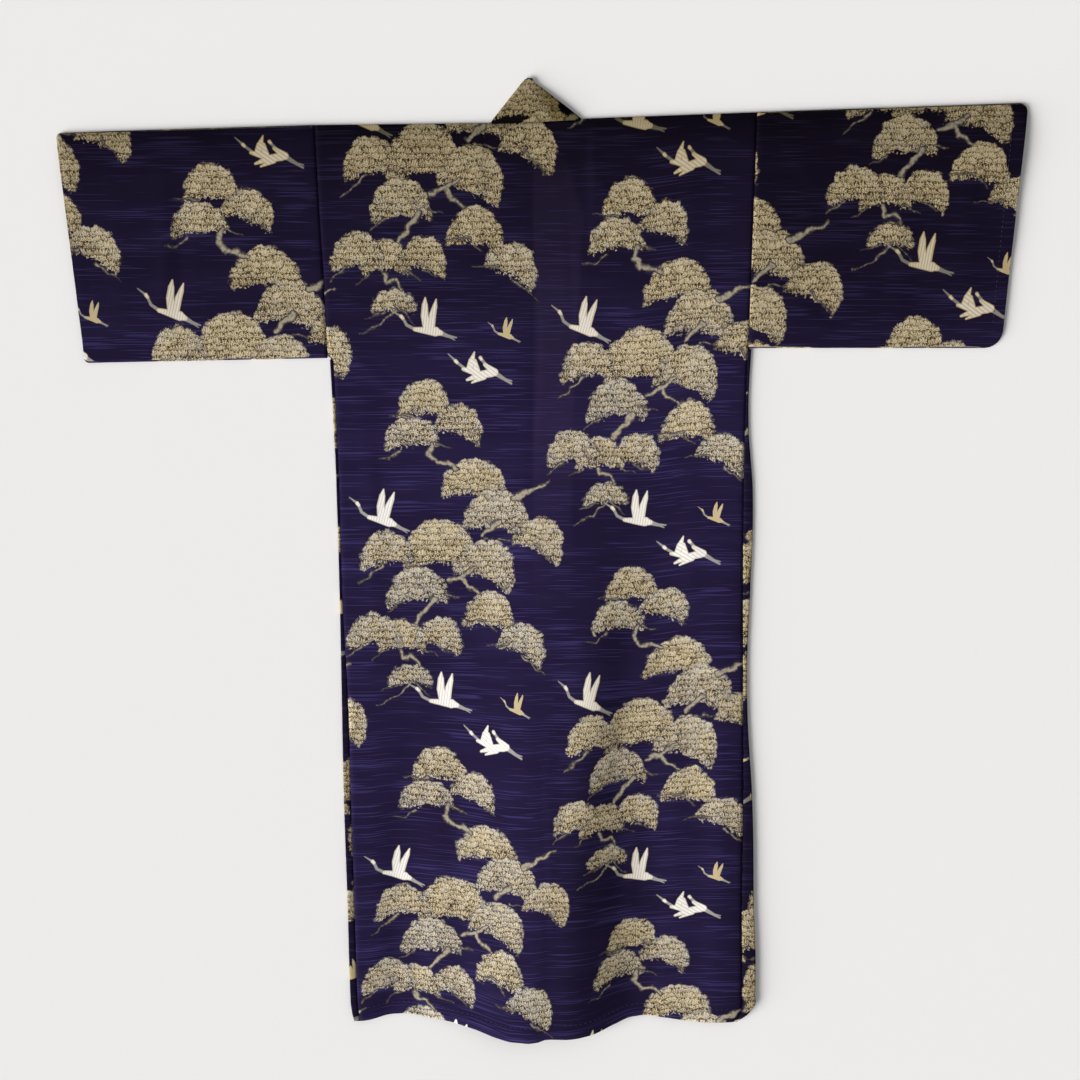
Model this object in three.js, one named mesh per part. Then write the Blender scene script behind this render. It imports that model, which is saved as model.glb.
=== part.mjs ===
// A yukata laid out flat on its front, its back up and its sleeves spread.
// Millimetres. +X runs to the wearer's right sleeve, +Y from the hem to the collar, +Z up.
// The origin is below the middle of the garment, on the surface that it lies on.
import * as THREE from "three";

// Cloth
const CLOTH = 1.2; // wall of one layer
const BAND = 2.4; // wall of the collar, which is folded double
const SEAM = 0.3; // gap between two pieces that are sewn together
const FLOOR_LAYER = CLOTH / 2; // middle of the layer on the surface
const TOP_LAYER = 3.9; // middle of the layer that shows
const BAND_LOW = BAND / 2; // middle of the collar under the back
const BAND_HIGH = 4.2; // middle of the collar behind the neck
const LAP = 2.7; // how far the right front is lifted where it lies on the left one
const LAP_SLOPE = 100; // width over which that lift runs out
const LAP_MARGIN = 5; // and how far past the edge that it clears
const LAP_TOP = 160; // the fronts overlap below this height
const FOLD = (TOP_LAYER - FLOOR_LAYER) / 2; // radius of a fold, to the middle of the cloth
const BAND_FOLD = (BAND_HIGH - BAND_LOW) / 2;

// Body
const UNDERARM = 280; // below this height the fronts wrap round the sides
const SHOULDER_TURN = 14; // how far the back goes over the shoulder, to the fronts
const HEM = -645; // level of a straight hem
const FRONT_SHORTER = 3; // the fronts end this much above the back's hem
const HEM_SWAY_TOP = -280; // the hem's curve fades out at this height
const FOLD_TOP = 100; // the long folds begin at this height
const FOLD_LIFT = 0.41; // height of a fold for each millimetre that the hem hangs lower
const FOLD_HEM = -635; // where the hem hangs no lower than this, the cloth lies flat
const FOLD_GROWTH = 1.3;
const UNDER_SHARE = 0.9; // the fronts follow the folds of the back to this share

// The two armhole seams, which are as long as a sleeve is deep.
const ARMHOLES = {
  left: { top: [-318, 608], bottom: [-300, 282] },
  right: { top: [301, 626], bottom: [289, 296] },
};
// The ends of the seam behind the neck, where the collar turns to the fronts.
const NECK = { left: [-72, 611], right: [56, 617] };
// The sleeves' outer corners, with the radius of each.
const CUFFS = {
  left: { top: [-679, 597], bottom: [-640, 275], topRound: 7, bottomRound: 7 },
  right: { top: [679, 639], bottom: [645, 296], topRound: 11, bottomRound: 28 },
};

// Outer edges of the body and the width of front cloth that shows on the back.
const SIDES = [
  { y: 290, left: -297, right: 293, leftStrip: 5, rightStrip: 5 },
  { y: 181, left: -291, right: 289, leftStrip: 4, rightStrip: 5 },
  { y: 83, left: -287, right: 295, leftStrip: 4, rightStrip: 13 },
  { y: -57, left: -283, right: 291, leftStrip: 4, rightStrip: 10 },
  { y: -197, left: -280, right: 287, leftStrip: 9, rightStrip: 6 },
  { y: -337, left: -277, right: 294, leftStrip: 10, rightStrip: 13 },
  { y: -477, left: -272, right: 296, leftStrip: 10, rightStrip: 17 },
  { y: -610, left: -268, right: 298, leftStrip: 10, rightStrip: 19 },
  { y: -630, left: -266, right: 292, leftStrip: 10, rightStrip: 15 },
  { y: HEM, left: -263, right: 272, leftStrip: 9, rightStrip: 5 },
];
// The hem's line. It hangs lowest where the middle fold stands highest.
const HEM_LINE = [
  { x: -263, y: -645 },
  { x: -240, y: -643 },
  { x: -205, y: -635 },
  { x: -157, y: -640 },
  { x: -101, y: -653 },
  { x: -59, y: -668 },
  { x: -31, y: -673 },
  { x: -8, y: -673 },
  { x: 5, y: -669 },
  { x: 56, y: -666 },
  { x: 102, y: -648 },
  { x: 130, y: -638 },
  { x: 165, y: -639 },
  { x: 221, y: -646 },
  { x: 272, y: -646 },
];
// The folds lean: how far to the right of its place at the hem a fold runs.
const FOLD_LEAN = [
  { y: 55, x: 52 },
  { y: -267, x: 24 },
  { y: -477, x: 17 },
  { y: HEM, x: 0 },
];
// The fronts: the seam between front and okumi, the collar's sewn edge, and the innermost edge
// of all, which is the collar's free edge and below it the okumi's.
const LEFT_FRONT = [
  { y: 611, seam: -72, band: -72, reach: -12 },
  { y: 380, seam: -73, band: -71, reach: -11 },
  { y: 200, seam: -85, band: -71, reach: -11 },
  { y: 41, seam: -100, band: -68, reach: -8 },
  { y: -139, seam: -92, band: -41, reach: 20 },
  { y: -259, seam: -80, band: -3, reach: 60 },
  { y: HEM, seam: -40, band: 100, reach: 100 },
];
const RIGHT_FRONT = [
  { y: 597, seam: 55, band: 55, reach: 14 },
  { y: 575, seam: 78, band: 78, reach: 27 },
  { y: 550, seam: 98, band: 98, reach: 37 },
  { y: 506, seam: 110, band: 110, reach: 49 },
  { y: 482, seam: 117, band: 117, reach: 58 },
  { y: 447, seam: 116, band: 115, reach: 55 },
  { y: 375, seam: 116, band: 113, reach: 53 },
  { y: 195, seam: 125, band: 102, reach: 42 },
  { y: 41, seam: 125, band: 90, reach: 30 },
  { y: -139, seam: 105, band: 52, reach: -10 },
  { y: -259, seam: 85, band: 13, reach: -50 },
  { y: HEM, seam: 60, band: -75, reach: -75 },
];
const OKUMI_TOP = 380; // the okumi's point
const BAND_END = -259; // the collar's lower end
// The collar behind the neck, from the left crease to the right one.
const NECK_BAND = [
  { seamX: -70, seamY: 610, freeX: -22, freeY: 671 },
  { seamX: -30, seamY: 611, freeX: -20, freeY: 674 },
  { seamX: 10, seamY: 613, freeX: -14, freeY: 673 },
  { seamX: 54, seamY: 615, freeX: -9, freeY: 664 },
];

// How many faces the pieces have.
const FACES = {
  shoulder: 4,
  side: 4,
  strip: 1,
  rows: 29,
  backLeft: 11,
  backNeck: 7,
  backRight: 12,
  front: 9,
  okumi: 4,
  band: 3,
  bandTurn: 4,
  sleeve: 7,
  sleeveTurn: 4,
  sleeveLength: 7,
};
const CORNER_STEPS = [0, 0.08, 0.3, 0.6, 1]; // sections of a sleeve within its rounded corner
const FINER_TO_HEM = 0.8; // rows lie closer together towards the hem

const CLOTH_COLOUR = 0x262143;
const cloth = (name) =>
  new THREE.MeshStandardMaterial({ name, color: CLOTH_COLOUR, roughness: 0.85, metalness: 0 });

const lerp = THREE.MathUtils.lerp;
const rise = (t) => THREE.MathUtils.smoothstep(t, 0, 1);
const mix = (a, b, t) => a.map((value, i) => lerp(value, b[i], t));
const steps = (count) => Array.from({ length: count + 1 }, (_, i) => i / count);

// Reads one column of a table at any place along another, on a smooth curve through its rows.
function reader(rows, along, column) {
  const sorted = [...rows].sort((a, b) => a[along] - b[along]);
  const at = sorted.map((row) => row[along]);
  const value = sorted.map((row) => row[column]);
  const last = at.length - 1;
  const slope = value.map((_, i) => {
    const from = Math.max(i - 1, 0);
    const to = Math.min(i + 1, last);
    return (value[to] - value[from]) / (at[to] - at[from]);
  });
  return (place) => {
    const p = THREE.MathUtils.clamp(place, at[0], at[last]);
    const i = Math.min(Math.max(at.findIndex((a) => a >= p) - 1, 0), last - 1);
    const span = at[i + 1] - at[i];
    const t = (p - at[i]) / span;
    const near = value[i] + slope[i] * span * t;
    const far = value[i + 1] - slope[i + 1] * span * (1 - t);
    return lerp(near, far, rise(t));
  };
}

const leftEdge = reader(SIDES, "y", "left");
const rightEdge = reader(SIDES, "y", "right");
const leftStrip = reader(SIDES, "y", "leftStrip");
const rightStrip = reader(SIDES, "y", "rightStrip");
const hemLine = reader(HEM_LINE, "x", "y");
const foldLean = reader(FOLD_LEAN, "y", "x");
const fronts = {};
for (const [side, rows] of Object.entries({ left: LEFT_FRONT, right: RIGHT_FRONT }))
  fronts[side] = {
    seam: reader(rows, "y", "seam"),
    band: reader(rows, "y", "band"),
    reach: reader(rows, "y", "reach"),
  };

// The armhole seam's place at a height.
function armhole(side, y) {
  const { top, bottom } = ARMHOLES[side];
  return lerp(bottom[0], top[0], (y - bottom[1]) / (top[1] - bottom[1]));
}

// The shoulder's height at a place across: a straight line on each side of the neck.
function shoulder(x) {
  if (x < NECK.left[0]) {
    const t = (x - ARMHOLES.left.top[0]) / (NECK.left[0] - ARMHOLES.left.top[0]);
    return lerp(ARMHOLES.left.top[1], NECK.left[1], t);
  }
  if (x > NECK.right[0]) {
    const t = (x - NECK.right[0]) / (ARMHOLES.right.top[0] - NECK.right[0]);
    return lerp(NECK.right[1], ARMHOLES.right.top[1], t);
  }
  return lerp(NECK.left[1], NECK.right[1], (x - NECK.left[0]) / (NECK.right[0] - NECK.left[0]));
}

// The long folds, which lift every layer of the body alike: they grow from nothing to the hem.
function folds(x, y) {
  const down = THREE.MathUtils.clamp((FOLD_TOP - y) / (FOLD_TOP - HEM), 0, 1);
  const hang = Math.max(0, FOLD_HEM - hemLine(x - foldLean(y)));
  return FOLD_LIFT * hang * Math.pow(down, FOLD_GROWTH);
}

// How far the right front, and the back over it, are lifted where the fronts overlap.
function lap(x, y) {
  const offLeft = rise((fronts.left.reach(y) + LAP_MARGIN - x) / LAP_SLOPE + 1);
  const offRight = rise((x - fronts.right.reach(y) + LAP_MARGIN) / LAP_SLOPE + 1);
  return LAP * offLeft * offRight * rise((LAP_TOP - y) / LAP_TOP);
}

// The hem's curve moves the lower rows of every panel.
function sway(x, y) {
  const t = THREE.MathUtils.clamp((HEM_SWAY_TOP - y) / (HEM_SWAY_TOP - HEM), 0, 1);
  return (hemLine(x) - HEM) * t * t;
}

// A cloth wall. place(i, j) gives the middle of the cloth and half its thickness as a vector.
// has(i, j) says which cells of the grid are cloth, and a closed grid joins its last column
// to its first. Each open edge gets a narrow face of its own.
function wall(name, columns, rows, place, { has = () => true, closed = false } = {}) {
  const wide = closed ? columns : columns + 1;
  const points = [];
  for (let j = 0; j <= rows; j++)
    for (let i = 0; i < wide; i++) {
      const { middle, half } = place(i, j);
      for (const side of [1, -1]) points.push(...middle.map((m, k) => m + side * half[k]));
    }
  const outer = (i, j) => 2 * (j * wide + (i % wide));
  const inner = (i, j) => outer(i, j) + 1;
  const cell = (i, j) => {
    if (j < 0 || j >= rows) return false;
    if (closed) return has((i + columns) % columns, j);
    return i >= 0 && i < columns && has(i, j);
  };
  const faces = [];
  const quad = (a, b, c, d) => faces.push(a, b, c, a, c, d);
  for (let j = 0; j < rows; j++)
    for (let i = 0; i < columns; i++) {
      if (!cell(i, j)) continue;
      quad(outer(i, j), outer(i + 1, j), outer(i + 1, j + 1), outer(i, j + 1));
      quad(inner(i, j), inner(i, j + 1), inner(i + 1, j + 1), inner(i + 1, j));
      const edges = [
        [i, j - 1, [i, j], [i + 1, j]],
        [i + 1, j, [i + 1, j], [i + 1, j + 1]],
        [i, j + 1, [i + 1, j + 1], [i, j + 1]],
        [i - 1, j, [i, j + 1], [i, j]],
      ];
      for (const [nextI, nextJ, from, to] of edges)
        if (!cell(nextI, nextJ)) quad(inner(...from), inner(...to), outer(...to), outer(...from));
    }
  return solid(name, points, faces);
}

// Makes the mesh, with its faces turned outwards and its unused points left out.
function solid(name, points, faces) {
  const used = new Map();
  const kept = [];
  const index = faces.map((v) => {
    if (!used.has(v)) {
      used.set(v, kept.length / 3);
      kept.push(points[3 * v], points[3 * v + 1], points[3 * v + 2]);
    }
    return used.get(v);
  });
  const corner = (v) => new THREE.Vector3().fromArray(kept, 3 * v);
  let volume = 0;
  for (let f = 0; f < index.length; f += 3) {
    const [a, b, c] = index.slice(f, f + 3).map(corner);
    volume += a.dot(b.cross(c));
  }
  if (volume < 0)
    for (let f = 0; f < index.length; f += 3)
      [index[f + 1], index[f + 2]] = [index[f + 2], index[f + 1]];
  const geometry = new THREE.BufferGeometry();
  geometry.setAttribute("position", new THREE.Float32BufferAttribute(kept, 3));
  geometry.setIndex(index);
  geometry.computeVertexNormals();
  const mesh = new THREE.Mesh(geometry, cloth(name));
  mesh.name = name;
  return mesh;
}

const flat = [0, 0, CLOTH / 2];
const lift = (x, y, z, share) => [x, y, z + share * folds(x, y)];

// Every piece of the body has its rows at the same heights, so that the seams fit. The first row
// is at the shoulder fold, the second at the top of the fronts and the last at the straight hem.
const FOLD_EDGE = FOLD + CLOTH / 2 + SEAM;
const FRONT_TOP = shoulder(0) - FOLD_EDGE - SHOULDER_TURN - 2 * SEAM;
const ROWS = steps(FACES.rows - 1).map((t) => lerp(FRONT_TOP, HEM, Math.pow(t, FINER_TO_HEM)));
for (const level of [UNDERARM, OKUMI_TOP, BAND_END]) {
  const off = ROWS.map((y) => Math.abs(y - level));
  ROWS[off.indexOf(Math.min(...off))] = level;
}
ROWS.unshift(shoulder(0) - FOLD_EDGE);

// The height of a row at a place across: it keeps to the shoulders' slope and the hem's curve.
function height(x, row) {
  const slope = (shoulder(x) - shoulder(0)) * (1 - row / FACES.rows);
  return ROWS[row] + slope + sway(x, ROWS[row]);
}

// The outer edge of a panel: the armhole seam, and below the underarm the place given. The row
// at the underarm keeps clear of both.
function outerEdge(side, row, below) {
  if (ROWS[row] < UNDERARM) return below;
  const sign = side === "left" ? 1 : -1;
  const sewn = armhole(side, height(ARMHOLES[side].bottom[0], row)) + sign * SEAM;
  return ROWS[row] === UNDERARM ? sign * Math.max(sign * sewn, sign * below) : sewn;
}

// The back: it turns over the shoulders to the fronts, and is cut off level behind the neck.
function back() {
  const left = (row) => outerEdge("left", row, leftEdge(ROWS[row]) + leftStrip(ROWS[row]));
  const right = (row) => outerEdge("right", row, rightEdge(ROWS[row]) - rightStrip(ROWS[row]));
  const neckAt = [FACES.backLeft, FACES.backLeft + FACES.backNeck];
  const columns = FACES.backLeft + FACES.backNeck + FACES.backRight;
  const across = (i, row) => {
    if (i <= neckAt[0]) return lerp(left(row), NECK.left[0], i / neckAt[0]);
    if (i >= neckAt[1]) return lerp(NECK.right[0], right(row), (i - neckAt[1]) / FACES.backRight);
    return lerp(NECK.left[0], NECK.right[0], (i - neckAt[0]) / FACES.backNeck);
  };
  const turn = FACES.shoulder + 1;
  const place = (i, j) => {
    const row = Math.max(j - turn, 0);
    const x = across(i, j === 0 ? 1 : row);
    const fold = shoulder(x) - FOLD_EDGE;
    if (j === 0)
      return { middle: [x, fold - SHOULDER_TURN, FLOOR_LAYER], half: [0, 0, -CLOTH / 2] };
    if (j <= turn) {
      const angle = Math.PI * ((j - 1) / FACES.shoulder - 0.5);
      const y = fold + FOLD * Math.cos(angle);
      const z = (TOP_LAYER + FLOOR_LAYER) / 2 + FOLD * Math.sin(angle);
      const half = [0, (Math.cos(angle) * CLOTH) / 2, (Math.sin(angle) * CLOTH) / 2];
      return { middle: [x, y, z], half };
    }
    const y = height(x, row);
    return { middle: lift(x, y, TOP_LAYER + lap(x, y), 1), half: flat };
  };
  const has = (i, j) => j >= turn || i < neckAt[0] || i >= neckAt[1];
  return wall("back", columns, turn + FACES.rows, place, { has });
}

// The same under the back, where the hem is a little shorter.
function frontHeight(x, row) {
  return height(x, row) + (row === FACES.rows ? FRONT_SHORTER : 0);
}

// A front: flat on the surface, and below the underarm round the side to a strip on the back.
function front(side) {
  const sign = side === "left" ? 1 : -1;
  const edge = side === "left" ? leftEdge : rightEdge;
  const strip = side === "left" ? leftStrip : rightStrip;
  const over = side === "left" ? () => 0 : lap;
  const turned = FACES.strip + FACES.side;
  const underarm = ROWS.indexOf(UNDERARM) - 1;
  const okumiTop = ROWS.indexOf(OKUMI_TOP) - 1;
  const place = (i, j) => {
    const nominal = ROWS[j + 1];
    const bend = edge(nominal) + sign * (FOLD + CLOTH / 2);
    if (i < turned) {
      const angle = (Math.PI * Math.max(i - FACES.strip, 0)) / FACES.side;
      let x = bend - sign * FOLD * Math.sin(angle);
      if (i < FACES.strip) x = edge(nominal) + sign * (strip(nominal) - SEAM);
      const z = (TOP_LAYER + FLOOR_LAYER) / 2 + FOLD * Math.cos(angle);
      const half = [(-sign * Math.sin(angle) * CLOTH) / 2, 0, (Math.cos(angle) * CLOTH) / 2];
      return { middle: lift(x, height(x, j + 1), z, UNDER_SHARE), half };
    }
    const sewnTo = j < okumiTop ? fronts[side].band(nominal) : fronts[side].seam(nominal);
    const outer = outerEdge(side, j + 1, bend);
    const x = lerp(outer, sewnTo - sign * SEAM, (i - turned) / FACES.front);
    const y = frontHeight(x, j + 1);
    const z = FLOOR_LAYER + over(x, y);
    return { middle: lift(x, y, z, UNDER_SHARE), half: [0, 0, -CLOTH / 2] };
  };
  const has = (i, j) => i >= turned || j >= underarm;
  return wall("front_" + side, turned + FACES.front, FACES.rows - 1, place, { has });
}

// An okumi: the long narrow panel inside a front, pointed at the top. The collar is sewn to it
// down to the collar's end, and below that its own edge is the front edge.
function okumi(side) {
  const sign = side === "left" ? 1 : -1;
  const over = side === "left" ? () => 0 : lap;
  const first = ROWS.indexOf(OKUMI_TOP);
  const bandEnd = ROWS.indexOf(BAND_END);
  const count = FACES.rows - first + 1;
  const place = (i, j) => {
    const sewn = first + j <= bandEnd;
    const row = first + j - (sewn ? 0 : 1);
    const nominal = ROWS[row];
    const from = fronts[side].seam(nominal) + sign * SEAM;
    const to = sewn ? fronts[side].band(nominal) - sign * SEAM : fronts[side].reach(nominal);
    const x = lerp(from, to, i / FACES.okumi);
    const y = frontHeight(x, row) - (row === bandEnd && !sewn ? 2 * SEAM : 0);
    return { middle: lift(x, y, FLOOR_LAYER + over(x, y), UNDER_SHARE), half: flat };
  };
  return wall("okumi_" + side, FACES.okumi, count, place);
}

// The collar: one doubled ribbon up the left front, round behind the neck and down the right one.
// It turns over at a slanting crease on each side of the neck.
function collar() {
  const sections = [];
  const middle = (BAND_LOW + BAND_HIGH) / 2;
  const run = (side) => {
    return ROWS.slice(1, ROWS.indexOf(BAND_END) + 1).map((nominal, above) => {
      const x = fronts[side].band(nominal);
      const free = fronts[side].reach(nominal);
      const end = nominal === BAND_END ? SEAM : 0;
      const [seam, other] = [x, free].map((at) => [at, height(at, above + 1) + end]);
      return { seam, free: other, angle: -Math.PI / 2, out: [0, 0], side };
    });
  };
  const crease = (row, sign) => {
    const seam = [row.seamX, row.seamY];
    const free = [row.freeX, row.freeY];
    const along = new THREE.Vector2(free[0] - seam[0], free[1] - seam[1]).normalize();
    const out = [-sign * along.y, sign * along.x];
    return steps(FACES.bandTurn).map((t) => {
      const angle = sign * Math.PI * (t - 0.5);
      return { seam, free, angle, out, side: "neck" };
    });
  };
  const neck = NECK_BAND.slice(1, -1).map((row) => {
    const [seam, free] = [[row.seamX, row.seamY], [row.freeX, row.freeY]];
    return { seam, free, angle: Math.PI / 2, out: [0, 0], side: "neck" };
  });
  sections.push(...run("left").reverse());
  sections.push(...crease(NECK_BAND[0], 1));
  sections.push(...neck);
  sections.push(...crease(NECK_BAND[NECK_BAND.length - 1], -1));
  sections.push(...run("right"));
  const place = (i, j) => {
    const { seam, free, angle, out, side } = sections[j];
    const turned = Math.cos(angle);
    const flatPlace = mix(seam, free, i / FACES.band);
    const [x, y] = flatPlace.map((v, k) => v + out[k] * BAND_FOLD * turned);
    const over = side === "right" ? lap(x, y) : 0;
    const z = middle + BAND_FOLD * Math.sin(angle) + over;
    const half = [out[0] * turned, out[1] * turned, Math.sin(angle)].map((v) => (v * BAND) / 2);
    return { middle: lift(x, y, z, UNDER_SHARE), half };
  };
  return wall("collar", FACES.band, sections.length - 1, place);
}

// A sleeve: one cloth folded along the top, a flattened tube open at the armhole and the cuff.
function sleeve(side) {
  const { top, bottom } = ARMHOLES[side];
  const cuff = CUFFS[side];
  const rounded = (away, radius) => {
    const inside = Math.max(0, radius - away);
    return radius - Math.sqrt(radius * radius - inside * inside);
  };
  const roundest = Math.max(cuff.topRound, cuff.bottomRound);
  const corner = CORNER_STEPS.map((t) => t * roundest);
  const length = Math.abs(cuff.top[0] - top[0]);
  const rest = steps(FACES.sleeveLength).slice(1).map((t) => lerp(roundest, length, t));
  const stations = [...corner, ...rest];
  const around = 2 * (FACES.sleeve + FACES.sleeveTurn);
  const place = (i, j) => {
    const t = 1 - stations[j] / length;
    const upper = mix(top, cuff.top, t);
    const lower = mix(bottom, cuff.bottom, t);
    upper[1] -= rounded(stations[j], cuff.topRound);
    lower[1] += rounded(stations[j], cuff.bottomRound);
    const along = new THREE.Vector2(upper[0] - lower[0], upper[1] - lower[1]);
    const tall = along.length();
    along.normalize();
    const inset = FOLD + CLOTH / 2;
    const flatPart = tall - 2 * inset;
    const layer = (FLOOR_LAYER + TOP_LAYER) / 2;
    let reach;
    let angle;
    const k = i % around;
    if (k <= FACES.sleeve) {
      reach = inset + flatPart * (1 - k / FACES.sleeve);
      angle = Math.PI / 2;
    } else if (k < FACES.sleeve + FACES.sleeveTurn) {
      angle = Math.PI / 2 + (Math.PI * (k - FACES.sleeve)) / FACES.sleeveTurn;
      reach = inset + FOLD * Math.cos(angle);
    } else if (k <= 2 * FACES.sleeve + FACES.sleeveTurn) {
      reach = inset + (flatPart * (k - FACES.sleeve - FACES.sleeveTurn)) / FACES.sleeve;
      angle = -Math.PI / 2;
    } else {
      angle = -Math.PI / 2 + (Math.PI * (k - 2 * FACES.sleeve - FACES.sleeveTurn)) / FACES.sleeveTurn;
      reach = inset + flatPart + FOLD * Math.cos(angle);
    }
    const outward = Math.cos(angle);
    const centre = [lower[0] + along.x * reach, lower[1] + along.y * reach];
    const half = [along.x * outward, along.y * outward, Math.sin(angle)];
    return {
      middle: [...centre, layer + FOLD * Math.sin(angle)],
      half: half.map((v) => (v * CLOTH) / 2),
    };
  };
  return wall("sleeve_" + side, around, stations.length - 1, place, { closed: true });
}

const yukata = new THREE.Group();
yukata.name = "yukata";
yukata.add(back(), collar());
for (const side of ["left", "right"]) yukata.add(front(side), okumi(side), sleeve(side));

export default yukata;
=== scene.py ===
"""A yukata laid out flat with its back up: printed cloth, seams and stitches round its solids.

The shapes are worked out in millimetres, in the frame of the solids: X to the wearer's right
sleeve, Y from the hem to the collar, Z up from the surface that the garment lies on. The print is
drawn by the material in millimetres of cloth, on each piece's own UV map, as the pieces were cut.
"""

import math

import bpy
import numpy as np
from bpy.props import FloatProperty, FloatVectorProperty, PointerProperty
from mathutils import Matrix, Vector


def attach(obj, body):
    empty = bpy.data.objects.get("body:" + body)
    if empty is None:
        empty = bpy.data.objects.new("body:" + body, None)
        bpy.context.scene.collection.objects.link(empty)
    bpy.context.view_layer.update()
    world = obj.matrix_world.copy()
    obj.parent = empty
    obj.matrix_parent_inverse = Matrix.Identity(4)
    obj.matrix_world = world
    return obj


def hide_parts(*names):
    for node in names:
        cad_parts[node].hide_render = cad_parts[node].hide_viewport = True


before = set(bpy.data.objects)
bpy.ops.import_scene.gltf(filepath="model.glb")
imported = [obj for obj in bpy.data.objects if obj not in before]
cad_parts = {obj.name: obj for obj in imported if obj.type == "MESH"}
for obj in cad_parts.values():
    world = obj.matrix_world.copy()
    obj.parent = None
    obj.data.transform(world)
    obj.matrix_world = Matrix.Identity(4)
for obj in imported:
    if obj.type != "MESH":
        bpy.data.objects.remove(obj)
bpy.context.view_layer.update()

bl_info = {
    "name": "Yukata laid out flat",
    "version": (1, 0, 0),
    "blender": (4, 5, 0),
    "location": "View3D > Sidebar > Yukata",
    "description": "Makes the cloth of a yukata, its print and stitches, and a plain stage",
    "category": "Add Mesh",
}

MM = 0.001
PHOTO_MM_PER_PIXEL = 1.4
PHOTO_PIXELS = 1080
PHOTO_ORIGIN = (542.0, 559.5)  # the pixel that shows the origin


def table(columns, *rows):
    """A table with named columns, as one array for each column."""
    return dict(zip(columns.split(), np.array(rows, float).T))


# The same driving sizes as the solids
UNDERARM = 280.0
HEM = -645.0
HEM_SWAY_TOP = -280.0
FOLD_TOP = 100.0
FOLD_LIFT = 0.41
FOLD_HEM = -635.0
FOLD_GROWTH = 1.3
UNDER_SHARE = 0.9
FRONT_SHORTER = 3.0
LAP = 2.7
LAP_SLOPE = 100.0
LAP_MARGIN = 5.0
LAP_TOP = 160.0
SHOULDER_TURN = 14.0
SLOPE_FADE = 1.25  # how the shoulders' slope fades out down the body
SEAM = 0.3
FLOOR_LAYER = 0.6
TOP_LAYER = 3.9
BAND_LOW = 1.2
BAND_HIGH = 4.2
FOLD_EDGE = 2.25
BAND_END = -259.0
OKUMI_TOP = 380.0
ARMHOLES = {"left": ((-318, 608), (-300, 282)), "right": ((301, 626), (289, 296))}
NECK = {"left": (-72, 611), "right": (56, 617)}
CUFFS = {
    "left": {"top": (-679, 597), "bottom": (-640, 275), "top_round": 7, "bottom_round": 7},
    "right": {"top": (679, 639), "bottom": (645, 296), "top_round": 11, "bottom_round": 28},
}
SIDES = table(
    "y left right left_strip right_strip",
    (290, -297, 293, 5, 5),
    (181, -291, 289, 4, 5),
    (83, -287, 295, 4, 13),
    (-57, -283, 291, 4, 10),
    (-197, -280, 287, 9, 6),
    (-337, -277, 294, 10, 13),
    (-477, -272, 296, 10, 17),
    (-610, -268, 298, 10, 19),
    (-630, -266, 292, 10, 15),
    (HEM, -263, 272, 9, 5),
)
HEM_LINE = table(
    "x y",
    (-263, -645),
    (-240, -643),
    (-205, -635),
    (-157, -640),
    (-101, -653),
    (-59, -668),
    (-31, -673),
    (-8, -673),
    (5, -669),
    (56, -666),
    (102, -648),
    (130, -638),
    (165, -639),
    (221, -646),
    (272, -646),
)
FOLD_LEAN = table("y x", (55, 52), (-267, 24), (-477, 17), (HEM, 0))
FRONTS = {
    "left": table(
        "y seam band reach",
        (611, -72, -72, -12),
        (380, -73, -71, -11),
        (200, -85, -71, -11),
        (41, -100, -68, -8),
        (-139, -92, -41, 20),
        (-259, -80, -3, 60),
        (HEM, -40, 100, 100),
    ),
    "right": table(
        "y seam band reach",
        (597, 55, 55, 14),
        (575, 78, 78, 27),
        (550, 98, 98, 37),
        (506, 110, 110, 49),
        (482, 117, 117, 58),
        (447, 116, 115, 55),
        (375, 116, 113, 53),
        (195, 125, 102, 42),
        (41, 125, 90, 30),
        (-139, 105, 52, -10),
        (-259, 85, 13, -50),
        (HEM, 60, -75, -75),
    ),
}
NECK_BAND = table(
    "seam_x seam_y free_x free_y",
    (-70, 610, -22, 671),
    (-30, 611, -20, 674),
    (10, 613, -14, 673),
    (54, 615, -9, 664),
)

# The cloth's own sizes, in millimetres
LAYER_RADIUS = (TOP_LAYER - FLOOR_LAYER) / 2  # of a half turn from the lower layer to the upper
FRONT_EASE = 30.0  # over so much at the hem the fronts get shorter than the back
HEM_FOLD = 17.0  # the width of the turned-in hems, which are a little thicker
HEM_EASE = 4.0  # over so much the hem rises to that thickness
SEAM_DIP = 0.9  # how deep the cloth dips at a seam
SEAM_DIP_WIDTH = 2.2
RIPPLE_WAVE = 23.0  # the length of the little waves along a seam
RIPPLE_REACH = 11.0  # and how far from it they reach
UNDERARM_EASE = (14.0, 10.0)  # the sides start so far above the underarm, over this height
# Lengths that set how many faces a piece has
BACK_LENGTH = 1260
BACK_WIDTHS = (230, 128, 236)  # from the left side to the neck, the neck, and on to the right side
FRONT_LENGTH, FRONT_WIDTH = 1240, 230
OKUMI_LENGTH = 1020
COLLAR_RUN, COLLAR_NECK = 840, 150
SLEEVE_HEIGHT = 324
# How many times longer the faces are there than elsewhere
HIDDEN_MESH = 1.6
COLLAR_MESH = 1.2
# How many faces there are in a half turn or over a narrow part
SHOULDER_FACES = 9
SIDE_FACES = 8
STRIP_FACES = 3
OKUMI_FACES = 21
COLLAR_TURN_FACES = 10
COLLAR_FACES = 14
SLEEVE_TURN_FACES = 8
CUFF_CORNER_FACES = 9

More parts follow.
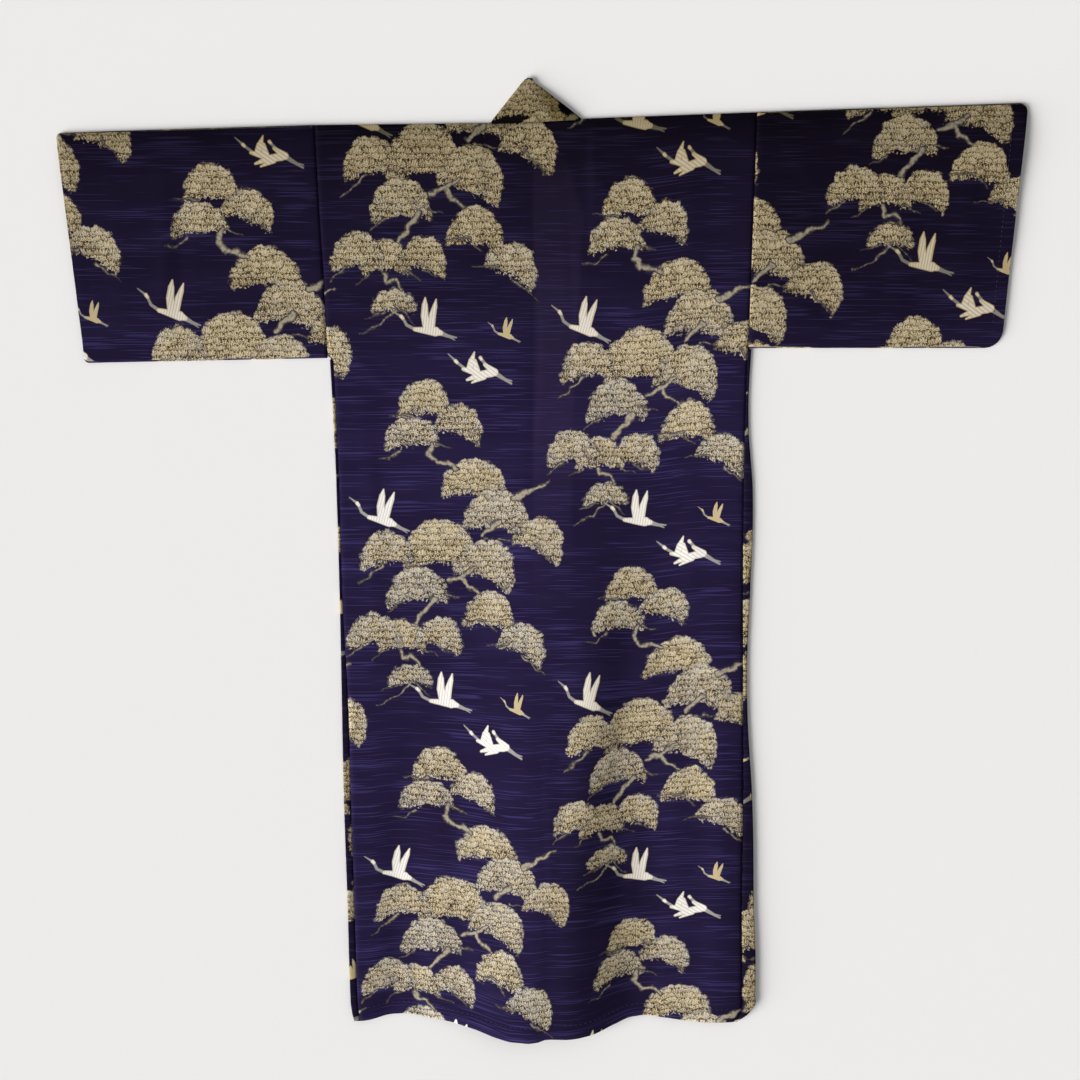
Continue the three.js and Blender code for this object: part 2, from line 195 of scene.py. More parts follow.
# Soft troughs and ridges in the cloth of the back: each runs from one end to the other, is
# so wide on each side and so high in its middle, and dies out towards both ends.
BACK_CREASES = table(
    "from_x from_y to_x to_y width height",
    (3, -240, 4, -668, 3, -0.7),
    (-10, 560, -11, 60, 4, -0.8),
    (33, 560, 46, 130, 6, -0.5),
    (84, 60, 34, -690, 36, 4.6),
    (112, -60, 110, -690, 20, -2.2),
    (-150, -230, -146, -690, 26, 2.6),
    (-205, -300, -214, -680, 18, -1.2),
    (176, -150, 184, -690, 30, 3.2),
    (244, -60, 246, -680, 20, 1.8),
    (-250, 230, -228, -120, 12, 0.9),
    (-284, 300, -150, 190, 9, 0.9),
    (276, 310, 170, 214, 10, 1.0),
    (-60, 596, -120, 430, 14, 0.8),
    (52, 600, 120, 420, 14, 0.9),
    (200, 590, 214, 330, 16, 0.7),
    (-210, 590, -222, 340, 16, 0.6),
    (-120, -20, -104, -300, 18, 0.8),
    (216, 120, 206, -150, 18, 0.9),
)
SLEEVE_CREASES = {
    "left": table(
        "from_x from_y to_x to_y width height",
        (-528, 596, -530, 290, 12, 1.3),
        (-500, 590, -508, 300, 12, -0.8),
        (-318, 380, -420, 300, 9, 1.0),
        (-330, 600, -412, 480, 12, 0.8),
        (-600, 590, -584, 300, 16, 0.7),
    ),
    "right": table(
        "from_x from_y to_x to_y width height",
        (500, 620, 494, 306, 14, 1.1),
        (540, 620, 522, 310, 12, -0.7),
        (306, 400, 410, 314, 9, 1.0),
        (320, 610, 400, 500, 12, 0.8),
        (604, 626, 590, 320, 15, 0.6),
    ),
}
# Faint ripples across the hidden fronts
FRONT_CREASES = table(
    "from_x from_y to_x to_y width height",
    (-190, 420, -170, -160, 16, 0.7),
    (180, 400, 200, -200, 16, 0.7),
    (-130, 100, -120, -560, 14, 0.6),
    (220, 40, 236, -520, 14, 0.6),
)

# Where each piece was cut from the printed cloth: added to a place on the piece
SLEEVE_PRINT = {"left": (22, -55), "right": (-94, -120)}
FRONT_PRINT = {"left": (-330, 120), "right": (250, -180)}
OKUMI_PRINT = (240, -60)  # the okumi was cut so far from its front
COLLAR_PRINT = (0, -320)
NECK_PRINT = (-66.8, -528.7)
SLEEVE_SLANT = {"left": 0.9, "right": 0.4}  # how far the sleeve's print follows its cuff
SLEEVE_SCALE = 0.91  # the sleeves' print is stretched: so much cloth for each length that shows
SLEEVE_WIDEN = {"left": (0.94, -493), "right": (0.94, 473)}  # the same along them, and from where
PRINT_LEAN = 0.043  # the chart was drawn over cloth that leans so much to the left going up
PRINT_LEAN_FROM = -21.7  # the height at which that lean is nothing
PRINT_SHIFT = 15.4  # on the back's right half the print sits so much further left
PRINT_SHIFT_FROM = (-108, 224)  # where that begins, and over what width
PRINT_RISE = 9.0  # near the back's right edge the print sits so much higher
PRINT_RISE_FROM = (130, 100)  # where that begins, and over what width
# How much of the hem's curve the lines of the weave follow
PRINT_SWAY = table(
    "y share",
    (-640, 1.0),
    (-540, 0.55),
    (-456, 0.48),
    (-372, 0.5),
    (-290, 0.4),
    (-205, 0.18),
    (-120, 0.0),
)
# How far below its even spacing the print sits on the back, which was stretched along the top
PRINT_STRETCH = table(
    "y down",
    (-640, 28),
    (-540, 20),
    (-456, 11),
    (-372, 5),
    (-200, 0),
    (130, -1),
    (216, 2),
    (300, 8),
    (384, 14),
    (468, 23),
    (552, 34),
    (640, 47),
)
# Painted shade: how much darker the cloth is, by the distance below the fold along its top
PAINTED_TOP_SHADE = {
    "back": table("below dark", (0, 0.78), (20, 0.7), (60, 0.6), (120, 0.5), (190, 0.4),
                  (260, 0.28), (340, 0.12), (430, 0.0)),
    "left": table("below dark", (0, 0.68), (25, 0.58), (90, 0.46), (170, 0.38), (240, 0.34),
                  (330, 0.15)),
    "right": table("below dark", (0, 0.78), (60, 0.7), (160, 0.62), (240, 0.52), (330, 0.36)),
}
# Painted shade and painted light on the back, where its long folds turn it from the light or to
# it: laid out as creases, with the darkness as their height
BACK_PAINTED_SHADES = table(
    "from_x from_y to_x to_y width height",
    (110, 190, 84, -1000, 52, 0.24),
    (60, -160, 46, -960, 50, 0.24),
    (296, 90, 300, -1000, 34, 0.52),
    (-66, 140, -60, -1100, 62, -0.14),
    (-258, -590, -20, -700, 30, -0.14),
)
STRIP_PAINTED_SHADE = 0.5  # painted shade: how much darker the strips down the sides are
# Painted light through the back, which is a single layer beside the collar's sewn edge on the
# right, seen through it
LIGHT_BAND = table(
    "y right",
    (195, 42),
    (375, 53),
    (447, 55),
    (482, 59),
    (506, 49),
    (545, 39),
    (573, 27),
)
LIGHT_BAND_LEFT = -14
LIGHT_BAND_TOP = (585, 60)  # where it ends, and over what height it fades
LIGHT_BAND_BOTTOM = (-160, 420)  # the same below

# The print's chart, simple shapes in the picture's pixels: the centre of one cell
# of the repeat and its size. Every second column of cells is shifted by half a cell.
CHART = {"cell": (455, 575), "wide": 210, "tall": 365}
TUFT = (9.8, 7.6)  # a tuft of needles, in millimetres
# How sharp the edges of the cushions, the branches and the cranes are
PINE_EDGE, WOOD_EDGE, CRANE_EDGE = 0.8, 0.9, 1.2
# Broken lines across the ground, in millimetres: how long they are, and how high
LINE_BUNCHES = (210, 22)
LINE_DASHES = (75, 1.5)
LINE_HAZE = (260, 30)
# The parts of a cell, each with its middle, which the edge of the repeat is kept away from
PARTS = {
    "top": (472, 470),
    "middle": (455, 590),
    "low": (415, 670),
    "crane": (385, 505),
    "birds": (480, 715),
}
BIRDS = ("crane", "birds")
# Cushions of needles, later ones in front: the middle of the base and the half width and height,
# in millimetres from the cell's centre, how far it leans to the left, and how golden it is
PINE_HEADS = {
    "top": (
        (-43, 224, 38, 45, 0, 0.8),
        (3, 197, 35, 41, -20, 0.45),
        (-60, 182, 39, 39, 6, 0.35),
        (27, 115, 48, 49, 0, 0.95),
        (59, 66, 50, 56, -8, 0.4),
        (119, 35, 39, 50, -25, 0.65),
    ),
    "middle": (
        (-21, 17, 53, 64, 0, 0.9),
        (-94, 18, 39, 45, 8, 0.6),
        (41, -3, 46, 56, -20, 0.5),
        (-52, -35, 43, 49, 4, 0.15),
        (49, -69, 39, 49, -6, 0.85),
        (97, -108, 39, 43, -25, 0.35),
    ),
    "low": (
        (-74, -102, 35, 41, 0, 0.85),
        (-113, -95, 38, 43, 6, 0.45),
        (-24, -99, 34, 43, -15, 0.6),
        (-63, -153, 32, 29, 0, 0.4),
    ),
}
# Branches and twigs: the radius at both ends, and the places that they run through
BRANCHES = {
    "top": (
        ((3.0, 2.5), (433, 443), (429, 453), (437, 462), (447, 462), (457, 468)),
        ((1.6, 0.6), (401, 450), (390, 459), (378, 459)),
        ((1.6, 0.6), (438, 443), (452, 448)),
        ((1.6, 0.6), (472, 440), (482, 446)),
        ((1.6, 0.7), (413, 416), (389, 415)),
        ((4.0, 1.5), (516, 497), (553, 481)),
        ((1.8, 0.6), (539, 543), (560, 564)),
        ((1.5, 0.7), (501, 538), (515, 540)),
    ),
    "middle": (
        ((3.5, 2.8), (501, 520), (484, 534)),
        ((2.0, 1.0), (383, 564), (358, 583)),
        ((3.4, 2.2), (462, 575), (447, 580)),
        ((3.4, 1.8), (462, 575), (467, 584), (481, 592)),
        ((3.0, 2.4), (462, 575), (476, 567)),
        ((3.5, 2.6), (435, 598), (426, 608), (415, 621)),
        ((1.5, 0.6), (446, 593), (459, 596)),
        ((1.6, 0.7), (401, 602), (386, 612)),
        ((1.6, 0.7), (487, 619), (461, 619)),
        ((1.6, 0.7), (490, 624), (498, 631)),
        ((1.6, 0.7), (513, 644), (487, 644)),
        ((1.8, 0.6), (528, 656), (553, 673)),
    ),
    "low": (
        ((1.8, 0.7), (363, 645), (347, 656)),
        ((1.5, 0.6), (386, 650), (372, 659)),
        ((1.5, 0.6), (421, 648), (438, 655)),
        ((1.5, 0.6), (439, 646), (453, 653)),
        ((2.8, 2.0), (401, 650), (403, 657), (413, 656), (419, 665)),
        ((2.0, 0.9), (412, 682), (398, 697), (377, 706)),
        ((1.5, 0.6), (416, 683), (432, 697)),
        ((1.4, 0.6), (401, 685), (382, 690)),
    ),
}
# Cranes with their wings up: the part, the body's middle, its turn in degrees, its size, whether
# it is golden. Their drawing is in the picture's pixels, from the body's middle.
RISING_CRANES = (
    ("crane", (381.3, 519.2), 0, 1.0, False),
    ("birds", (443.3, 702.5), 8, 1.0, False),
    ("birds", (521.4, 707), 0, 0.55, True),
)
CRANE_REACH = 42  # no part of a crane is further from its middle
RISING = {
    "white": (
        ((2.0, 4.5), (-12, 3), (8, -2)),
        ((4.5, 2.5), (8, -2), (13, -4)),
        ((4.4, 3.9), (0.5, 4), (-0.5, 14)),
        ((3.9, 3.0), (-0.5, 14), (1, 24)),
        ((3.0, 0.8), (1, 24), (2.4, 30.5)),
        ((3.4, 3.4), (5, 4), (7.5, 14)),
        ((3.4, 2.4), (7.5, 14), (10.8, 21.5)),
        ((2.4, 0.7), (10.8, 21.5), (13, 27.5)),
        ((1.8, 1.6), (-24, 17), (-22.5, 15)),
    ),
    "grey": (
        ((0.4, 1.2), (-31.8, 22.8), (-24, 17)),
        ((1.3, 1.5), (-22.5, 15), (-19.5, 8), (-12, 3)),
        ((2.5, 0.6), (11, -3), (20, -8), (28, -10.5)),
        ((1.2, 0.4), (20, -8), (26, -12.5)),
    ),
}
# The two that glide, one before the other: their part and middle, and their drawing
GLIDING_PAIR = ("birds", (500, 742))
GLIDING = {
    "white": (
        ((1.6, 3.6), (-21, 4), (-8, 1)),
        ((3.4, 3.2), (-14.5, 4), (-12.5, 11)),
        ((3.2, 0.7), (-12.5, 11), (-9.5, 19.5)),
        ((3.4, 2.4), (-7, 2), (-9.5, 11)),
        ((1.7, 3.6), (1, 8), (11, 1)),
        ((3.9, 3.4), (8, 0.5), (-5, -1.5)),
        ((3.4, 1.2), (-5, -1.5), (-17, -6)),
        ((3.0, 0.9), (0, -3), (-12, -8.5)),
        ((1.7, 1.5), (-28.5, 11.5), (-27, 10)),
        ((1.7, 1.5), (-3.5, 14.3), (-2.4, 13)),
    ),
    "grey": (
        ((0.4, 1.2), (-36, 18), (-28.5, 11.5)),
        ((1.2, 1.3), (-27, 10), (-20, 5)),
        ((1.2, 1.6), (-2.4, 13), (3, 7)),
        ((2.3, 0.9), (12, 0), (28, -9.5)),
        ((1.0, 0.5), (20, -5), (28.5, -7)),
    ),
}
COLOUR_NAMES = ("ground", "slub", "gold", "silver", "tips", "ink", "white")
PAINTED_THROUGH_LIGHT = (0.040, 0.028, 0.072)  # the ground with painted light shining through where the back is a single layer

# The stage, in metres
FRAME_WIDTH = PHOTO_PIXELS * PHOTO_MM_PER_PIXEL * MM
CAMERA_HEIGHT = 4.0
SENSOR = 36.0  # in millimetres, as Blender has it
FLOOR_HALF = 14.0
FLOOR_DROP = 0.0004
WORLD_LIGHT = 0.24
# Name, where the light comes from, its softness in degrees, its power and its colour
LIGHTS = (
    ("key", (-5.4, -3.2, 2.6), 52, 5.9, (1.0, 0.99, 0.98)),
    ("fill", (2.0, 3.0, 6.0), 60, 0.35, (0.97, 0.98, 1.0)),
)


def length_setting(name, description, default):
    """A size in metres that a user may change."""
    return FloatProperty(name=name, description=description, default=default, unit="LENGTH")


def colour_setting(name, description, default):
    """A colour that a user may change."""
    return FloatVectorProperty(
        name=name, description=description, default=default, subtype="COLOR", size=3
    )


class YukataSizes(bpy.types.PropertyGroup):
    """Sizes that a user may change, in metres."""

    cloth: length_setting("Cloth", "Thickness of one layer", 0.0008)
    band: length_setting("Collar", "Thickness of the doubled collar", 0.0022)
    mesh: length_setting("Mesh", "Length of a face of the cloth", 0.0044)
    roll: length_setting(
        "Top roll", "How much the layers stand off each other below the folds at the top", 0.0052
    )
    roll_reach: length_setting(
        "Top roll width", "How far below the folds that roll is highest", 0.05
    )
    stitch: length_setting("Stitch", "Length of one stitch", 0.0032)
    thread: length_setting("Thread", "Thickness of the sewing thread", 0.0007)


class YukataColours(bpy.types.PropertyGroup):
    """Colours that a user may change."""

    ground: colour_setting("Ground", "Dark blue of the cloth", (0.0150, 0.0098, 0.036))
    slub: colour_setting(
        "Slub lines", "Lighter blue of the broken lines across the ground", (0.044, 0.035, 0.130)
    )
    gold: colour_setting("Gold", "Beige gold of the pines", (0.53, 0.41, 0.20))
    silver: colour_setting("Silver", "Grey of the pines and branches", (0.34, 0.32, 0.30))
    tips: colour_setting("Tips", "Light beige of the needles' tips", (0.68, 0.60, 0.45))
    ink: colour_setting("Ink", "Dark brown between the needles", (0.026, 0.018, 0.026))
    white: colour_setting("White", "White of the cranes", (0.90, 0.88, 0.86))
    floor: colour_setting("Floor", "Pale surface under the garment", (0.80, 0.79, 0.785))


def sizes():
    """The sizes that the panel shows."""
    return bpy.context.scene.yukata_sizes


def colours():
    """The colours that the panel shows."""
    return bpy.context.scene.yukata_colours


# Shape


def smooth(t):
    """Rises softly from 0 at 0 to 1 at 1: three t squared less two t cubed."""
    t = np.clip(t, 0, 1)
    return t * t * (3 - 2 * t)


def curve(rows, along, column):
    """A function that reads one column of a table at any place along another. Between two rows
    it blends the straight lines that leave them, each with the slope from its row's neighbours."""
    order = np.argsort(rows[along])
    at, value = rows[along][order], rows[column][order]
    last = len(at) - 1
    here = np.arange(last + 1)
    before, after = np.maximum(here - 1, 0), np.minimum(here + 1, last)
    slope = (value[after] - value[before]) / (at[after] - at[before])

    def read(place):
        p = np.clip(place, at[0], at[-1])
        i = np.clip(np.searchsorted(at, p) - 1, 0, last - 1)
        span = at[i + 1] - at[i]
        t = (p - at[i]) / span
        near = value[i] + slope[i] * span * t
        far = value[i + 1] - slope[i + 1] * span * (1 - t)
        return near + (far - near) * smooth(t)

    return read


edge_of = {side: curve(SIDES, "y", side) for side in ("left", "right")}
strip_of = {side: curve(SIDES, "y", side + "_strip") for side in ("left", "right")}
hem_line = curve(HEM_LINE, "x", "y")
fold_lean = curve(FOLD_LEAN, "y", "x")
print_stretch = curve(PRINT_STRETCH, "y", "down")
print_sway = curve(PRINT_SWAY, "y", "share")
fronts = {
    side: {column: curve(rows, "y", column) for column in ("seam", "band", "reach")}
    for side, rows in FRONTS.items()
}


def lerp(a, b, t):
    """The place on the way from a to b."""
    return a + (b - a) * t


def bell(off, wide):
    """A bell curve: 1 in the middle, falling as e to the minus square of the distance."""
    return np.exp(-((off / wide) ** 2))


def seam_dip(off):
    """The dip of the cloth at a distance from a seam: a bell curve."""
    return SEAM_DIP * bell(off, SEAM_DIP_WIDTH)


def armhole(side, y):
    """The armhole seam at a height: the straight line between its two ends."""
    top, bottom = ARMHOLES[side]
    return lerp(bottom[0], top[0], (y - bottom[1]) / (top[1] - bottom[1]))


def shoulder(x):
    """The shoulder's height across: straight from armhole to neck, and across the neck."""
    corners = (ARMHOLES["left"][0], NECK["left"], NECK["right"], ARMHOLES["right"][0])
    return np.interp(x, *zip(*corners))


SHOULDER = float(shoulder(0))
FRONT_TOP = SHOULDER - FOLD_EDGE - SHOULDER_TURN - 2 * SEAM


def folds(x, y):
    """The long folds: as high as the hem hangs low at the same place, growing from nothing."""
    down = np.clip((FOLD_TOP - y) / (FOLD_TOP - HEM), 0, 1)
    hang = np.maximum(0, FOLD_HEM - hem_line(x - fold_lean(y)))
    return FOLD_LIFT * hang * down**FOLD_GROWTH


def lap(x, y):
    """How far the right front and the back are lifted where the fronts overlap."""
    off_left = smooth((fronts["left"]["reach"](y) + LAP_MARGIN - x) / LAP_SLOPE + 1)
    off_right = smooth((x - fronts["right"]["reach"](y) + LAP_MARGIN) / LAP_SLOPE + 1)
    return LAP * off_left * off_right * smooth((LAP_TOP - y) / LAP_TOP)


def sway(x, y):
    """The hem's curve, fading out upwards as the square of the way to the hem."""
    t = np.clip((HEM_SWAY_TOP - y) / (HEM_SWAY_TOP - HEM), 0, 1)
    return (hem_line(x) - HEM) * t * t


def height(x, level):
    """A straight level of the body, put on the shoulders' slope and the hem's curve."""
    share = np.clip((FRONT_TOP - level) / (FRONT_TOP - HEM), 0, 1) ** SLOPE_FADE
    return level + (shoulder(x) - SHOULDER) * (1 - share) + sway(x, level)


def shortened(level):
    """How far the hem of the fronts lies above the back's, from nothing higher up."""
    return FRONT_SHORTER * smooth((HEM + FRONT_EASE - level) / FRONT_EASE)


def creased(rows, x, y):
    """The sum of the creases: across each a bell curve, along it a half sine. Each wanders a
    little to both sides of its line."""
    total = np.zeros_like(x)
    for i in range(len(rows["width"])):
        start = np.array([rows["from_x"][i], rows["from_y"][i]])
        way = np.array([rows["to_x"][i], rows["to_y"][i]]) - start
        long = np.hypot(*way)
        along = ((x - start[0]) * way[0] + (y - start[1]) * way[1]) / long**2
        off = ((y - start[1]) * way[0] - (x - start[0]) * way[1]) / long
        bend = 0.06 * long * np.sin(2.3 * np.pi * along + i)
        across = bell(off + 0.12 * bend, rows["width"][i])
        total += rows["height"][i] * across * np.sin(np.pi * np.clip(along, 0, 1)) ** 0.7
    return total


def top_roll(below):
    """How far the upper layer stands off at a distance below a fold along the top."""
    reach = sizes().roll_reach / MM
    return sizes().roll / MM * (below / reach) * np.exp(1 - below / reach) * (below > 0)


def ripple(along, off, depth):
    """Little waves along a seam that is drawn in by its thread, dying out away from it: the sum
    of two sines of different lengths."""
    turn = 2 * np.pi * along
    uneven = np.sin(turn / RIPPLE_WAVE) + 0.6 * np.sin(turn / (RIPPLE_WAVE * 1.73) + 1)
    return depth * uneven * np.exp(-np.abs(off) / RIPPLE_REACH)


# Meshes


def unit(v):
    """Vectors made one long."""
    return v / np.maximum(np.linalg.norm(v, axis=-1, keepdims=True), 1e-9)


def grid_normals(points, around):
    """The normal at each point of a grid: the cross product of its two directions."""
    if around:
        across = np.roll(points, -1, axis=1) - np.roll(points, 1, axis=1)
    else:
        across = np.gradient(points, axis=1)
    return unit(np.cross(unit(np.gradient(points, axis=0)), unit(across)))


def signed_volume(points, faces):
    """Positive where the faces of a closed mesh point outwards."""
    a, b, c, d = (points[faces[:, i]] for i in range(4))
    return (np.cross(a, b) * c).sum() + (np.cross(a, c) * d).sum()


def make_piece(name, points, faces, uv, material, marks=None):
    """Puts arrays into a mesh and makes its object. The arrays are in millimetres, and the mesh
    and its UV map, which is one of the cloth, in metres. marks are stored at its points."""
    if signed_volume(points, faces) < 0:
        faces = faces[:, ::-1]
    mesh = bpy.data.meshes.new(name)
    mesh.from_pydata((points * MM).tolist(), [], faces.tolist())
    corner = np.empty(len(mesh.loops), dtype=np.int32)
    mesh.loops.foreach_get("vertex_index", corner)
    if uv is not None:
        mesh.uv_layers.new(name="cloth").data.foreach_set("uv", (uv[corner] * MM).ravel())
    for mark, values in (marks or {}).items():
        mesh.attributes.new(mark, "FLOAT", "POINT").data.foreach_set("value", values)
    mesh.polygons.foreach_set("use_smooth", np.ones(len(mesh.polygons), dtype=bool))
    mesh.materials.append(material)
    piece = bpy.data.objects.new(name, mesh)
    bpy.context.scene.collection.objects.link(piece)
    return piece


def cloth_wall(name, middle, uv, material, thick, has=None, around=False, marks=None):
    """A closed wall of cloth. middle is a grid of points (rows, columns, 3): the wall's two sides
    are those points moved half its thickness along their normals, and every open edge is closed
    by a narrow strip. has says which cells are cloth."""
    rows, columns = middle.shape[:2]
    half = grid_normals(middle, around) * np.broadcast_to(thick, (rows, columns))[..., None] / 2
    points = np.concatenate([(middle + half).reshape(-1, 3), (middle - half).reshape(-1, 3)])
    number = np.arange(rows * columns).reshape(rows, columns)
    if around:
        number = np.concatenate([number, number[:, :1]], axis=1)
    cells = np.ones((number.shape[0] - 1, number.shape[1] - 1), bool) if has is None else has
    a, b = number[:-1, :-1], number[:-1, 1:]
    c, d = number[1:, 1:], number[1:, :-1]
    under = rows * columns
    parts = [np.stack([a, b, c, d], -1)[cells], np.stack([a, d, c, b], -1)[cells] + under]
    padded = np.pad(cells, 1)
    if around:
        padded[1:-1, 0], padded[1:-1, -1] = cells[:, -1], cells[:, 0]
    for start, end, neighbour in (
        (a, b, padded[:-2, 1:-1]),
        (b, c, padded[1:-1, 2:]),
        (c, d, padded[2:, 1:-1]),
        (d, a, padded[1:-1, :-2]),
    ):
        edge = cells & ~neighbour
        s, e = start[edge], end[edge]
        parts.append(np.stack([s + under, e + under, e, s], -1))
    used, faces = np.unique(np.concatenate(parts), return_inverse=True)
    both = np.concatenate([uv.reshape(-1, 2)] * 2)[used]
    marks = {
        mark: np.concatenate([np.broadcast_to(values, (rows, columns)).ravel()] * 2)[used]
        for mark, values in (marks or {}).items()
    }
    return make_piece(name, points[used], faces.reshape(-1, 4), both, material, marks)


def faces_over(length, size=1.0):
    """How many faces a length of cloth takes, where they are so many times the usual size."""
    return max(3, int(round(length * MM / (sizes().mesh * size))))


def stretch(*stops_and_counts):
    """Places from stop to stop with so many steps between: stop, count, stop, count, stop..."""
    stops, counts = stops_and_counts[0::2], stops_and_counts[1::2]
    legs = [np.linspace(a, b, n + 1)[:-1] for a, b, n in zip(stops[:-1], stops[1:], counts)]
    return np.concatenate(legs + [[stops[-1]]])


def declare(piece, node):
    """Attaches a cloth piece to the root and hides the solid that it replaces."""
    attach(piece, "root")
    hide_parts(node)


def capsules(name, starts, ends, up, radius, material):
    """Short threads in one mesh: each a six-sided rod from start to end, a little arched, with
    rounded ends."""
    sides = 6
    place = np.array([0, 0.16, 0.84, 1.0])
    wide = np.array([0.35, 1, 1, 0.35]) * radius
    arched = 0.12
    rings = len(place)
    way = unit(ends - starts)
    across = unit(np.cross(way, up))
    upright = np.cross(across, way)
    long = np.linalg.norm(ends - starts, axis=-1)
    turn = np.arange(sides) * 2 * np.pi / sides
    circle = across[:, None] * np.cos(turn)[:, None] + upright[:, None] * np.sin(turn)[:, None]
    arch = (np.sin(np.pi * place) * arched)[None, :] * long[:, None]
    line = starts[:, None] + way[:, None] * (place[None, :] * long[:, None])[..., None]
    line = line + upright[:, None] * arch[..., None]
    points = line[:, :, None] + circle[:, None] * wide[None, :, None, None]
    ring = np.arange(sides)
    after = (ring + 1) % sides
    around = np.stack([ring, after, after + sides, ring + sides], -1)
    faces = [around + r * sides for r in range(rings - 1)]
    caps = np.array([[0, 5, 4, 3], [0, 3, 2, 1]])
    faces += [caps, (caps + (rings - 1) * sides)[:, ::-1]]
    one = np.concatenate(faces)
    every = one[None] + (np.arange(len(starts)) * rings * sides)[:, None, None]
    return make_piece(name, points.reshape(-1, 3), every.reshape(-1, 4), None, material)


def stitches(name, middle, row, part, thick, around):
    """A line of stitches on top of the cloth, along one row of its grid."""
    normal = grid_normals(middle, around)[row, part]
    line = middle[row, part] + normal * thick / 2
    place = np.r_[0, np.cumsum(np.linalg.norm(np.diff(line, axis=0), axis=1))]
    long = sizes().stitch / MM
    step = 2.2 * long
    starts = np.arange(long, place[-1] - 2 * long, step)

    def at(where, values):
        return np.stack([np.interp(where, place, values[:, k]) for k in range(3)], -1)

    ends = at(starts, line), at(starts + long, line)
    up = unit(at(starts + long / 2, normal))
    sewn = capsules(name, *ends, up, sizes().thread / MM / 2, thread_material())
    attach(sewn, "root")
    return sewn


# Pieces


def painted_light_band(x, y):
    """Painted light where the back is a single layer between the two collar edges: 1 inside, soft
    edges.
    """
    right = np.interp(y, LIGHT_BAND["y"], LIGHT_BAND["right"])
    inside = smooth((x - LIGHT_BAND_LEFT) / 5) * smooth((right + 3 - x) / 6)
    (top, top_fade), (bottom, bottom_fade) = LIGHT_BAND_TOP, LIGHT_BAND_BOTTOM
    return inside * smooth((top - y) / top_fade) * smooth((y - bottom) / bottom_fade)


def painted_top_shade(where, below):
    """How much painted shade a piece has at a distance below its top."""
    return np.interp(below, PAINTED_TOP_SHADE[where]["below"], PAINTED_TOP_SHADE[where]["dark"])


def back_print(x, y):
    """Where on the printed cloth a place of the back is. The left half leans, and the right half
    is a little to the left of it. The lines of the weave follow the hem's curve."""
    left = x + PRINT_LEAN * (y - PRINT_LEAN_FROM)
    start, width = PRINT_SHIFT_FROM
    u = lerp(left, x + PRINT_SHIFT, np.clip((x - start) / width, 0, 1))
    hang = (hem_line(x) - HEM) * print_sway(y)
    start, width = PRINT_RISE_FROM
    rise = PRINT_RISE * smooth((x - start) / width)
    return np.stack([u, y - hang - print_stretch(y) - rise], -1)


def outer_edge(side, level, below):
    """A panel's outer edge: the armhole seam, and from the underarm on the place given."""
    sign = 1 if side == "left" else -1
    sewn = armhole(side, height(ARMHOLES[side][1][0], level)) + sign * SEAM
    start, length = UNDERARM_EASE
    return lerp(sewn, below, smooth((UNDERARM + start - level) / length))


def make_back(material):
    """The back: straight lines across from side to side, with a half turn over each shoulder. To
    the height of its layer are added the layers under it, the long folds, the creases, a roll
    below the top and a dip at each seam."""
    turn = SHOULDER_FACES
    levels = np.linspace(SHOULDER - FOLD_EDGE, HEM, faces_over(BACK_LENGTH) + 1)
    nominal = np.concatenate([np.full(turn + 1, levels[0]), levels])[:, None]
    widths = [faces_over(width) for width in BACK_WIDTHS]
    neck = slice(widths[0], widths[0] + widths[1])
    share = stretch(0, widths[0], 1, widths[1], 2, widths[2], 3)[None, :]
    left = outer_edge("left", nominal, edge_of["left"](nominal) + strip_of["left"](nominal))
    right = outer_edge("right", nominal, edge_of["right"](nominal) - strip_of["right"](nominal))
    stops = (left, NECK["left"][0] + 0 * nominal, NECK["right"][0] + 0 * nominal, right)
    x = stops[0] + sum(
        (b - a) * np.clip(share - i, 0, 1) for i, (a, b) in enumerate(zip(stops[:-1], stops[1:]))
    )
    y = height(x, nominal)
    fold = shoulder(x) - FOLD_EDGE
    in_neck = smooth((x + 90) / 14) * smooth((74 - x) / 14)
    z = TOP_LAYER + lap(x, y) + folds(x, y) + creased(BACK_CREASES, x, y)
    z += top_roll(fold - y) * (1 - 0.5 * in_neck) * smooth((y - 380) / 80)
    for off in (x - left, right - x):
        z += ripple(y, off, 0.28) - seam_dip(off)
    from_hem = y - hem_line(x)
    z += 0.3 * np.sin(2 * np.pi * x / 37 + 1) * bell(from_hem, 9)
    z += 0.5 * smooth((HEM_FOLD - from_hem) / HEM_EASE)
    radius = LAYER_RADIUS
    angle = np.pi * (np.linspace(0, 1, turn + 1) - 0.5)[:, None]
    y[0], z[0] = fold[0] - SHOULDER_TURN, FLOOR_LAYER
    y[1 : turn + 1] = fold[1 : turn + 1] + radius * np.cos(angle[:-1])
    z[1 : turn + 1] = FLOOR_LAYER + radius * (1 + np.sin(angle[:-1]))
    z[turn + 1] = TOP_LAYER
    has = np.ones((x.shape[0] - 1, x.shape[1] - 1), bool)
    has[: turn + 1, neck] = False
    sewn_y = y.copy()
    sewn_y[: turn + 1] = fold[: turn + 1] + (turn + 1 - np.arange(turn + 1))[:, None] * 0.5
    sewn_y[0] += SHOULDER_TURN
    middle = np.stack([x, y, z], -1)
    cloth = sizes().cloth / MM
    # Painted shade: darker along the top, and darker or lighter along the long folds
    shade = painted_top_shade("back", fold - y) + creased(BACK_PAINTED_SHADES, x, y)
    # Painted light where the back is a single layer
    marks = {"single_layer": painted_light_band(x, y), "shade": shade}
    uv = back_print(x, sewn_y)
    piece = cloth_wall("back_cloth", middle, uv, material, cloth, has, marks=marks)
    row = x.shape[0] - 1 - int(round(HEM_FOLD * MM / sizes().mesh))
    sewn = stitches("hem_stitches", middle, row, slice(3, -3), cloth, False)
    declare(piece, "back")


